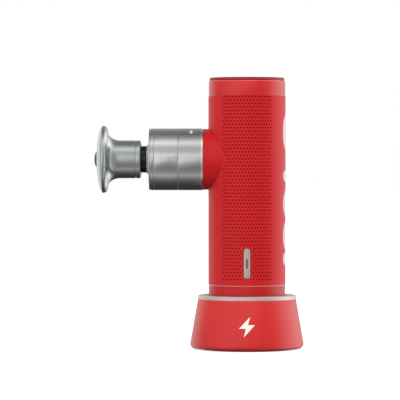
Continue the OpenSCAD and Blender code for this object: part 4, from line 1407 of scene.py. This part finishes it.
@dataclass
class Barrel:
    """The collar, the two turned metal pieces, the cap and the seal."""

    collar_wall: float = 2.2
    collar_start: float = 6.0
    collar_seat: float = 1.2
    metal_wall: float = 2.0
    edge: float = 0.3
    fine_edge: float = 0.1
    bright_w: float = 1.3
    mark_w: float = 1.7
    mark_len: float = 4.0
    mark_at: float = 7.6
    mark_turn: float = 62.0
    cap_groove_at: float = 1.1
    cap_groove_t: float = 0.35
    cap_rim: float = 2.4
    cap_sink: float = 0.35
    cap_lip: float = 1.2
    cap_soft: float = 0.45
    seal_gap: float = 0.3
    seal_lobes: int = 30
    lobe_depth: float = 0.05

    def build(self) -> None:
        """Make every piece of the barrel."""
        self.collar()
        self.rear()
        self.index_mark()
        self.front()
        self.cap()
        self.seal()

    def collar(self) -> None:
        """Make the red collar, cut to sit on the grip."""
        radius = span("neck_collar", 1)[1]
        far = reach("neck_collar")[1]
        inner = radius - self.collar_wall
        outline = [
            (inner, self.collar_start, 0),
            (radius, self.collar_start, 0),
            (radius, far, self.fine_edge),
            (inner, far, 0),
        ]
        inside = span("grip_sleeve", 0)[1] - self.collar_seat
        cutter = rod(inside, AXIS_Z - 30, AXIS_Z + 30, None, BARREL_STEPS)
        bm = carved(moved(turned(outline, BARREL_STEPS), ALONG_BARREL), [cutter])
        show("neck_collar_skin", bm, [COLLAR_RED], "gun", ["neck_collar"], mirrored=False)

    def shell(self, name: str, node: str, finish: Finish, rounding: tuple[float, float]) -> None:
        """Make a turned tube in a node's place.

        Args:
            name: The piece's name.
            node: The CAD node it stands for.
            finish: Its finish.
            rounding: The rounding of its near and far outer edges.
        """
        radius = span(node, 1)[1]
        near, far = reach(node)
        inner = radius - self.metal_wall
        outline = [
            (inner, near, 0),
            (radius, near, rounding[0]),
            (radius, far, rounding[1]),
            (inner, far, 0),
        ]
        show(name, moved(turned(outline, BARREL_STEPS), ALONG_BARREL), [finish], "gun", [node])

    def rear(self) -> None:
        """Make the rear metal piece, with a rounded edge by the collar in a pale pink metal that paints
        the highlight on that joint.
        """
        radius = span("barrel_rear", 1)[1]
        near = reach("barrel_rear")[0]
        joint = reach("barrel_front")[0] - 0.02
        inner = radius - self.metal_wall
        outline = [
            (inner, near, 0),
            (radius - 0.1, near, 0.06),
            (radius - 0.04, near + self.bright_w, 0),
            (radius, near + self.bright_w + 0.05, 0),
            (radius, joint, self.edge),
            (inner, joint, 0),
        ]
        bm = turned(outline, BARREL_STEPS)
        # The narrow band by the collar takes the pale pink painted highlight.
        for face in bm.faces:
            place = face.calc_center_median()
            out = math.hypot(place.x, place.y)
            if near < place.z < near + self.bright_w and out > radius - 0.3:
                face.material_index = 1
        finishes = [BARREL_METAL, JOINT_HIGHLIGHT_METAL]
        show("barrel_rear_tube", moved(bm, ALONG_BARREL), finishes, "gun", ["barrel_rear"])

    def index_mark(self) -> None:
        """Print the small round-ended mark on top of the rear piece."""
        radius = span("barrel_rear", 1)[1]
        near = reach("barrel_rear")[0]
        bm = pill(self.mark_w, self.mark_len, 0, 0.05, 24)
        for i in range(-5, 6):
            geometry = bm.verts[:] + bm.edges[:] + bm.faces[:]
            bmesh.ops.bisect_plane(bm, geom=geometry, plane_co=(0, i * 0.9, 0), plane_no=(0, 1, 0))
        for vert in bm.verts:
            turn = math.radians(self.mark_turn) + vert.co.y / radius
            out = radius + 0.01 + vert.co.z
            vert.co = (out * math.sin(turn), -out * math.cos(turn), near + self.mark_at + vert.co.x)
        show("barrel_index_mark", moved(bm, ALONG_BARREL), [INDEX_GREY], "gun")

    def front(self) -> None:
        """Make the front metal piece."""
        self.shell("barrel_front_tube", "barrel_front", BARREL_BRIGHT, (self.edge, self.edge))

    def cap(self) -> None:
        """Make the front cap with its fine groove and its face."""
        radius = span("barrel_cap", 1)[1]
        far = reach("barrel_cap")[1]
        near = reach("barrel_front")[1] + 0.02
        hole = span("plunger_seal", 1)[1] + 0.1
        groove = far - self.cap_groove_at
        rim, floor = radius - self.cap_rim, far - self.cap_sink
        outline = [
            (hole, near, 0),
            (radius, near, 0.25),
            (radius, groove - 0.3, 0.06),
            (radius - self.cap_groove_t, groove - 0.12, 0),
            (radius - self.cap_groove_t, groove + 0.12, 0),
            (radius, groove + 0.3, 0.06),
            (radius, far, self.cap_soft),
            (rim, far, 0.1),
            (rim - 0.4, floor, 0.1),
            (hole + self.cap_lip + 0.4, floor, 0.1),
            (hole + self.cap_lip, far, 0.1),
            (hole, far, 0.2),
        ]
        bm = moved(turned(outline, BARREL_STEPS), ALONG_BARREL)
        show("barrel_front_cap", bm, [BARREL_BRIGHT], "gun", ["barrel_cap"])

    def seal(self) -> None:
        """Make the rubber seal with its ribbed lip, in a light grey that paints the light on it."""
        outer = span("plunger_seal", 1)[1]
        face = reach("barrel_cap")[1]
        tip = reach("plunger_seal")[1]
        rod_r = span("plunger_rod", 1)[1] + self.seal_gap
        outline = [
            (rod_r, face - 2.0, 0),
            (outer, face - 2.0, 0),
            (outer, face - 0.25, 0.12),
            (outer - 1.1, face - 0.45, 0.1),
            (rod_r + 1.1, face - 0.45, 0.1),
            (rod_r + 0.5, face - 0.2, 0),
            (rod_r + 0.45, tip, 0.1),
            (rod_r, tip, 0.05),
        ]
        bm = turned(outline, self.seal_lobes * 6)
        for vert in bm.verts:
            out = math.hypot(vert.co.x, vert.co.y)
            if vert.co.z > face - 0.3 and out > rod_r + 0.3:
                turn = math.atan2(vert.co.y, vert.co.x) * self.seal_lobes
                grown = 1 - self.lobe_depth * (1 - abs(math.cos(turn / 2)))
                vert.co.x *= grown
                vert.co.y *= grown
        show("plunger_seal_lips", moved(bm, ALONG_BARREL), [SEAL_PAINTED_LIGHT_RUBBER], "gun", ["plunger_seal"])


# ---- Massage head ----


@dataclass
class MassageHead:
    """The turned head with its flare, rounded rim and dome, and the black plug."""

    stem_r: float = 12.25
    lead_in: float = 0.9
    groove_at: float = 3.6
    groove_w: float = 0.4
    groove_t: float = 0.35
    stem_len: float = 13.8
    flare_len: float = 7.9
    back_len: float = 3.0
    back_w: float = 3.64
    plug_r: float = 4.9
    plug_gap: float = 0.05
    plug_side: float = 1.55
    plug_dimple_r: float = 0.9
    plug_dimple: float = 0.3
    seat_depth: float = 3.2
    mouth_w: float = 2.4

    def build(self) -> None:
        """Make the head and its plug."""
        self.head()
        self.plug()

    def head(self) -> None:
        """Make the metal head."""
        near, apex = reach("head_body")
        disc_r = span("head_body", 1)[1]
        stem_r = self.stem_r
        bore = span("plunger_rod", 1)[1] + 0.1
        flare_r = disc_r - self.back_w
        flare0 = near + self.stem_len
        rim = flare0 + self.flare_len + self.back_len
        groove = near + self.groove_at
        dome_h = apex - rim
        hole = self.plug_r + self.plug_gap
        dome = [c for c in arc((0, rim), (disc_r, dome_h), 6, 90, 40) if c[0] > hole]
        hole_z = rim + dome_h * math.sqrt(1 - (hole / disc_r) ** 2)
        outline = [
            (bore, near, 0.3),
            (stem_r - self.mouth_w, near, 0),
            (stem_r - 0.3, near + 0.5, 0.2),
            (stem_r, near + self.lead_in, 0.2),
            (stem_r, groove - self.groove_w, 0.05),
            (stem_r - self.groove_t, groove - self.groove_w / 2, 0),
            (stem_r - self.groove_t, groove + self.groove_w / 2, 0),
            (stem_r, groove + self.groove_w, 0.05),
            *arc((flare_r, flare0), (flare_r - stem_r, self.flare_len), 180, 90, 24),
            *arc((flare_r, rim), (disc_r - flare_r, self.back_len), -84, 0, 12),
            *dome,
            (hole, hole_z, 0.12),
            (hole, apex - self.seat_depth, 0),
            (bore, apex - self.seat_depth, 0),
        ]
        bm = moved(turned(outline, BARREL_STEPS), ALONG_BARREL)
        show("massage_head_metal", bm, [HEAD_METAL], "massage_head", ["head_body"])

    def plug(self) -> None:
        """Make the black plug in the middle of the dome."""
        near, far = reach("head_plug")
        side = far - self.plug_side
        outline = [
            (0, near, 0),
            (self.plug_r, near, 0),
            (self.plug_r, side, 0),
            *arc((0, side), (self.plug_r, far - side), 8, 78, 10),
            (self.plug_dimple_r, far - 0.02, 0.05),
            (self.plug_dimple_r - 0.2, far - self.plug_dimple, 0.05),
            (0, far - self.plug_dimple, 0),
        ]
        bm = moved(turned(outline, 96), ALONG_BARREL)
        show("head_plug_cap", bm, [PLUG_BLACK], "massage_head", ["head_plug"])


# ---- Dock ----


@dataclass
class Dock:
    """The charging dock: shell, bright ring, foot pad and printed mark."""

    foot_round: float = 2.8
    wall: float = 2.2
    foot_rim: float = 5.4
    foot_hollow: float = 3.0
    lip_t: float = 2.0
    mouth_soft: float = 0.35
    well_gap: float = 0.9
    ring_tuck: float = 3.0
    ring_step: float = 1.4
    plug_w: float = 12.8
    plug_h: float = 7.4
    mark_z: float = 16.1
    mark_h: float = 13.0
    mark_t: float = 0.05
    pad_grooves: int = 5
    pad_inner: float = 8.0
    pad_outer: float = 4.0
    pad_groove_t: float = 0.5
    bolt: tuple[tuple[float, float], ...] = (
        (0.12, 0.5),
        (-0.3, -0.08),
        (-0.04, -0.08),
        (-0.12, -0.5),
        (0.3, 0.1),
        (0.04, 0.1),
    )

    def build(self) -> None:
        """Make every piece of the dock."""
        self.shell()
        self.ring()
        self.foot_pad()
        self.springs()
        self.mark()

    def skin_r(self, z: float) -> float:
        """Give the shell's outer radius at a height.

        Args:
            z: The height.

        Returns:
            The radius.
        """
        foot, top = span("dock_shell", 2)
        foot_r, top_r = span("dock_shell", 0)[1], span("dock_trim_ring", 0)[1]
        knee = foot + self.foot_round
        return foot_r + (top_r - foot_r) * (z - knee) / (top - knee)

    def shell(self) -> None:
        """Make the red shell with the opening for the charging plug."""
        foot, top = span("dock_shell", 2)
        foot_r, top_r = span("dock_shell", 0)[1], span("dock_trim_ring", 0)[1]
        soft = self.foot_round
        round_foot = arc((foot_r - soft, foot + soft), (soft, soft), -90, 0, 10)
        lip = span("dock_cradle", 0)[1]
        outline = [
            (foot_r - self.foot_rim, foot, 0.2),
            *round_foot,
            (top_r, top, 0.15),
            (lip, top, 0),
            (lip, top - self.lip_t, 0),
            (top_r - self.wall, top - self.lip_t, 0),
            (foot_r - self.foot_rim, foot + self.foot_hollow, 0),
        ]
        way = pill(self.plug_h, self.plug_w, 28, 50)
        usb_z = sum(span("dock_usb_socket", 2)) / 2
        aim = Matrix.Rotation(math.radians(-90), 4, "X") @ Matrix.Rotation(math.radians(90), 4, "Z")
        place = Matrix.Translation((0, 0, usb_z)) @ aim
        bm = carved(turned(outline), [moved(way, place)])
        mouth = [e for e in bm.edges if e.calc_face_angle(0.0) > 0.9 and self.at_mouth(e, usb_z)]
        soften(bm, mouth, self.mouth_soft, 3)
        show("dock_skin", bm, [DOCK_RED], "dock", ["dock_shell"], mirrored=False)

    def at_mouth(self, edge: BMEdge, usb_z: float) -> bool:
        """Tell whether an edge is on the outside of the plug's opening.

        Args:
            edge: The edge.
            usb_z: The height of the opening's middle.

        Returns:
            True if both of its ends are at the mouth.
        """
        for vert in edge.verts:
            beside = abs(vert.co.x) < self.plug_w / 2 + 0.1
            level = abs(vert.co.z - usb_z) < self.plug_h / 2 + 0.1
            outside = math.hypot(vert.co.x, vert.co.y) > self.skin_r(vert.co.z) - 0.1
            if not (beside and level and outside and vert.co.y > 0):
                return False
        return True

    def ring(self) -> None:
        """Make the bright ring round the cradle."""
        foot, top = span("dock_trim_ring", 2)
        radius = span("dock_trim_ring", 0)[1]
        inner = span("grip_sleeve", 0)[1] + self.well_gap
        outline = [
            (inner, foot + self.ring_step, 0),
            (inner, top, 0.45),
            (radius, top, 0.8),
            (radius, foot, 0.12),
            (radius - self.ring_tuck, foot, 0),
            (radius - self.ring_tuck, foot + self.ring_step, 0),
        ]
        # The ring's pink tint is painted reflection of the red grip.
        show("dock_bright_ring", turned(outline), [RING_SILVER_REFLECTION], "dock", ["dock_trim_ring"])

    def foot_pad(self) -> None:
        """Make the rubber foot pad with its gripping grooves."""
        radius = span("dock_foot_pad", 0)[1]
        foot, top = span("dock_foot_pad", 2)
        outline: list[tuple[float, float, float]] = [(0, foot, 0)]
        for i in range(self.pad_grooves):
            step = (radius - self.pad_inner - self.pad_outer) / (self.pad_grooves - 1)
            at, roof = self.pad_inner + i * step, foot + self.pad_groove_t
            outline += [(at - 0.6, foot, 0), (at - 0.3, roof, 0)]
            outline += [(at + 0.3, roof, 0), (at + 0.6, foot, 0)]
        outline += [(radius, foot, 0.4), (radius, top, 0), (0, top, 0)]
        show("dock_foot_rubber", turned(outline), [FOOT_RUBBER], "dock", ["dock_foot_pad"])

    def springs(self) -> None:
        """Show the contact springs as a piece of their own, baked in place with their give."""
        node = frame["nodes"]["dock_pin_springs"]
        bm = bmesh.new()
        bm.from_mesh(node.data)
        bm.transform(node.matrix_world)
        bmesh.ops.scale(bm, vec=(1 / MM, 1 / MM, 1 / MM), verts=bm.verts[:])
        bmesh.ops.remove_doubles(bm, verts=bm.verts[:], dist=1e-4)
        foot, top = span("dock_pin_springs", 2)
        give = Give("contact_pins", foot, top)
        show("contact_spring_coils", bm, [STEEL], "dock", ["dock_pin_springs"], give=give)

    def mark(self) -> None:
        """Print a plain charging bolt on the front of the shell."""
        bm = bmesh.new()
        corners = [bm.verts.new((x * self.mark_h * 1.3, z * self.mark_h, 0)) for x, z in self.bolt]
        bm.faces.new(corners)
        for i in range(-7, 8):
            geometry = bm.verts[:] + bm.edges[:] + bm.faces[:]
            bmesh.ops.bisect_plane(bm, geom=geometry, plane_co=(i * 0.6, 0, 0), plane_no=(1, 0, 0))
        raise_faces(bm, bm.faces[:], Vector((0, 0, self.mark_t)))
        bmesh.ops.recalc_face_normals(bm, faces=bm.faces[:])
        for vert in bm.verts:
            z = self.mark_z + vert.co.y
            out = self.skin_r(z) + 0.01 + vert.co.z
            vert.co = (vert.co.x, -math.sqrt(out**2 - vert.co.x**2), z)
        show("dock_bolt_mark", bm, [MARK_WHITE], "dock")


# ---- What lies inside ----


@dataclass
class Insides:
    """The CAD nodes that are shown as they are, each with its own finish."""

    by_slot: dict[str, Finish] = field(default_factory=lambda: CAD_FINISHES)

    def build(self) -> None:
        """Dress every CAD node from its own material slot."""
        slots = {entry["node"]: entry["material_slot"] for entry in frame["record"]["subparts"]}
        for name, node in frame["nodes"].items():
            finish = self.by_slot[slots[name]]
            node.data.materials.clear()
            node.data.materials.append(finish.material())
            LOG.info("%s takes %s", name, finish.name)


# ---- Studio ----


@dataclass(frozen=True)
class Softbox:
    """One soft lamp, placed by its bearing round the object."""

    name: str
    bearing: float
    elevation: float
    distance: float
    width: float
    height: float
    watts: float


@dataclass
class Studio:
    """Pale floor, soft light and the camera."""

    camera_y: float = -1.816
    look_at: tuple[float, float] = (-0.03045, 0.0966)
    lens: float = 252.0
    floor_r: float = 8.0
    floor_z: float = -0.00005
    lamps: tuple[Softbox, ...] = (
        Softbox("key", 5, 35, 1.6, 1.2, 1.2, 14),
        Softbox("left_fill", -95, 10, 1.4, 1.0, 1.2, 3),
    )
    over: tuple[tuple[float, float], ...] = (
        (-180, 0.6),
        (-175, 0.1),
        (-160, 0.05),
        (-138, 0.045),
        (-114, 0.055),
        (-100, 0.09),
        (-90, 0.15),
        (-80, 0.22),
        (-70, 0.40),
        (-62, 0.57),
        (-53, 0.37),
        (-45, 0.29),
        (-31, 0.235),
        (-18, 0.31),
        (-6, 0.45),
        (4, 0.66),
        (10, 0.86),
        (15.7, 1.16),
        (21, 0.84),
        (28, 0.66),
        (42, 0.60),
        (52, 0.8),
        (63, 1.25),
        (70, 1.05),
        (80, 0.64),
        (92, 0.36),
        (108, 0.2),
        (124, 0.24),
        (134, 0.32),
        (150, 0.40),
        (168, 0.5),
        (180, 1.1),
    )
    around: tuple[tuple[float, float], ...] = (
        (-180, 0.9),
        (-154, 1.0),
        (-127, 1.3),
        (-110, 0.45),
        (-95, 0.35),
        (-72, 0.69),
        (-51, 1.0),
        (-32, 1.1),
        (-13, 1.05),
        (4, 0.75),
        (22, 0.45),
        (41, 0.33),
        (61, 0.51),
        (72, 0.98),
        (83, 1.5),
        (96, 2.1),
        (110, 2.15),
        (127, 2.0),
        (154, 0.8),
        (180, 0.7),
    )
    brightest: float = 3.2
    blend: tuple[float, float] = (0.35, 0.7)
    floor_glow: float = 0.55

    def build(self) -> None:
        """Make the studio."""
        self.floor()
        self.surroundings()
        for lamp in self.lamps:
            self.lamp(lamp)
        self.camera()

    def floor(self) -> None:
        """Lay the pale floor."""
        bm = bmesh.new()
        place = Matrix.Translation((0, 0, self.floor_z))
        bmesh.ops.create_circle(bm, cap_ends=True, segments=96, radius=self.floor_r, matrix=place)
        mesh = bpy.data.meshes.new("floor")
        bm.to_mesh(mesh)
        bm.free()
        floor = bpy.data.objects.new("floor", mesh)
        nodes = Nodes("pale_floor")
        tone = nodes.ramp(nodes.noise(3, 2), [(0.3, (0.92, 0.92, 0.92)), (0.7, (0.95, 0.95, 0.95))])
        nodes.link(tone, nodes.surface.inputs["Base Color"])
        nodes.surface.inputs["Emission Color"].default_value = (1, 1, 1, 1)
        nodes.uniform(Roughness=0.8, Emission_Strength=self.floor_glow)
        mesh.materials.append(nodes.material)
        floor.visible_glossy = False
        floor.visible_diffuse = False
        bpy.context.scene.collection.objects.link(floor)

    def surroundings(self) -> None:
        """Paint the soft surroundings: one set of tones over the object, one around it."""
        world = bpy.data.worlds.new("studio")
        bpy.context.scene.world = world
        world.use_nodes = True
        tree = world.node_tree
        tree.nodes.clear()
        parts = tree.nodes.new("ShaderNodeSeparateXYZ")
        tree.links.new(tree.nodes.new("ShaderNodeTexCoord").outputs["Generated"], parts.inputs["Vector"])
        forward = self.sum_of(tree, "MULTIPLY", parts.outputs["Y"], -1.0)
        over = self.tones(tree, parts.outputs["Z"], forward, self.over)
        around = self.tones(tree, parts.outputs["X"], forward, self.around)
        up = self.sum_of(tree, "ABSOLUTE", parts.outputs["Z"])
        side = self.sum_of(tree, "ABSOLUTE", parts.outputs["X"])
        share = self.sum_of(tree, "DIVIDE", up, self.sum_of(tree, "ADD", up, side))
        blend = tree.nodes.new("ShaderNodeMapRange")
        blend.interpolation_type = "SMOOTHSTEP"
        blend.inputs["From Min"].default_value, blend.inputs["From Max"].default_value = self.blend
        tree.links.new(share, blend.inputs["Value"])
        seen = tree.nodes.new("ShaderNodeLightPath").outputs["Is Camera Ray"]
        tone = self.mixed(tree, blend.outputs["Result"], around, over)
        background = tree.nodes.new("ShaderNodeBackground")
        background.inputs["Color"].default_value = (1, 1, 1, 1)
        tree.links.new(self.mixed(tree, seen, tone, 1.0), background.inputs["Strength"])
        output = tree.nodes.new("ShaderNodeOutputWorld")
        tree.links.new(background.outputs["Background"], output.inputs["Surface"])

    def sum_of(
        self,
        tree: bpy.types.NodeTree,
        operation: str,
        first: bpy.types.NodeSocket,
        second: bpy.types.NodeSocket | float = 0.0,
    ) -> bpy.types.NodeSocket:
        """Add one step of arithmetic to the surroundings.

        Args:
            tree: The world's node tree.
            operation: What is worked out.
            first: The first value.
            second: The second value or number.

        Returns:
            The answer.
        """
        node = tree.nodes.new("ShaderNodeMath")
        node.operation = operation
        tree.links.new(first, node.inputs[0])
        if isinstance(second, float):
            node.inputs[1].default_value = second
        else:
            tree.links.new(second, node.inputs[1])
        return node.outputs["Value"]

    def mixed(
        self,
        tree: bpy.types.NodeTree,
        share: bpy.types.NodeSocket,
        first: bpy.types.NodeSocket,
        second: bpy.types.NodeSocket | float,
    ) -> bpy.types.NodeSocket:
        """Blend two brightnesses.

        Args:
            tree: The world's node tree.
            share: How much of the second there is.
            first: The first brightness.
            second: The second brightness or number.

        Returns:
            The blend.
        """
        node = tree.nodes.new("ShaderNodeMix")
        node.data_type = "FLOAT"
        values = [s for s in node.inputs if s.type == "VALUE"]
        tree.links.new(share, values[0])
        tree.links.new(first, values[1])
        if isinstance(second, float):
            values[2].default_value = second
        else:
            tree.links.new(second, values[2])
        return next(s for s in node.outputs if s.type == "VALUE")

    def tones(
        self,
        tree: bpy.types.NodeTree,
        rise: bpy.types.NodeSocket,
        run: bpy.types.NodeSocket,
        stops: Sequence[tuple[float, float]],
    ) -> bpy.types.NodeSocket:
        """Give the brightness at the angle between two directions.

        Args:
            tree: The world's node tree.
            rise: How far the direction goes to the side.
            run: How far it goes to the front.
            stops: Angles in degrees, each with its brightness.

        Returns:
            The brightness.
        """
        angle = self.sum_of(tree, "ARCTAN2", rise, run)
        share = tree.nodes.new("ShaderNodeMapRange")
        share.inputs["From Min"].default_value = -math.pi
        share.inputs["From Max"].default_value = math.pi
        tree.links.new(angle, share.inputs["Value"])
        tone = tree.nodes.new("ShaderNodeValToRGB")
        elements = tone.color_ramp.elements
        while len(elements) < len(stops):
            elements.new(0.5)
        for element, (degrees, value) in zip(elements, stops):
            element.position = (degrees + 180) / 360
            element.color = (*(value / self.brightest,) * 3, 1)
        tree.links.new(share.outputs["Result"], tone.inputs["Fac"])
        return self.sum_of(tree, "MULTIPLY", tone.outputs["Color"], self.brightest)

    def lamp(self, lamp: Softbox) -> None:
        """Hang one soft lamp, turned towards the object.

        Args:
            lamp: The lamp.
        """
        data = bpy.data.lights.new(lamp.name, "AREA")
        data.shape = "RECTANGLE"
        data.size = lamp.width
        data.size_y = lamp.height
        data.energy = lamp.watts
        item = bpy.data.objects.new(lamp.name, data)
        item.visible_glossy = False
        bearing, rise = math.radians(lamp.bearing), math.radians(lamp.elevation)
        flat = Vector((math.sin(bearing), -math.cos(bearing), 0)) * math.cos(rise)
        out = flat + Vector((0, 0, math.sin(rise)))
        item.location = Vector((0, 0, 0.1)) + out * lamp.distance
        item.rotation_mode = "QUATERNION"
        item.rotation_quaternion = (-out).to_track_quat("-Z", "Y")
        bpy.context.scene.collection.objects.link(item)

    def camera(self) -> None:
        """Set up the camera at the height of the barrel, looking a little down."""
        data = bpy.data.cameras.new("camera")
        data.lens = self.lens
        data.sensor_width = 36.0
        item = bpy.data.objects.new("camera", data)
        bpy.context.scene.collection.objects.link(item)
        item.location = (0.0, self.camera_y, AXIS_Z * MM)
        sight = Vector((self.look_at[0], 0.0, self.look_at[1])) - item.location
        item.rotation_mode = "QUATERNION"
        item.rotation_quaternion = sight.to_track_quat("-Z", "Y")
        bpy.context.scene.camera = item


def main() -> None:
    """Build every part of the scene in order."""
    logging.basicConfig(level=logging.INFO, format="%(name)s: %(message)s")
    bpy.context.scene.view_settings.view_transform = "Standard"
    for unit in (Insides(), Grip(), ButtonUnit(), Barrel(), MassageHead(), Dock(), Studio()):
        unit.build()


if __name__ == "__main__":
    main()
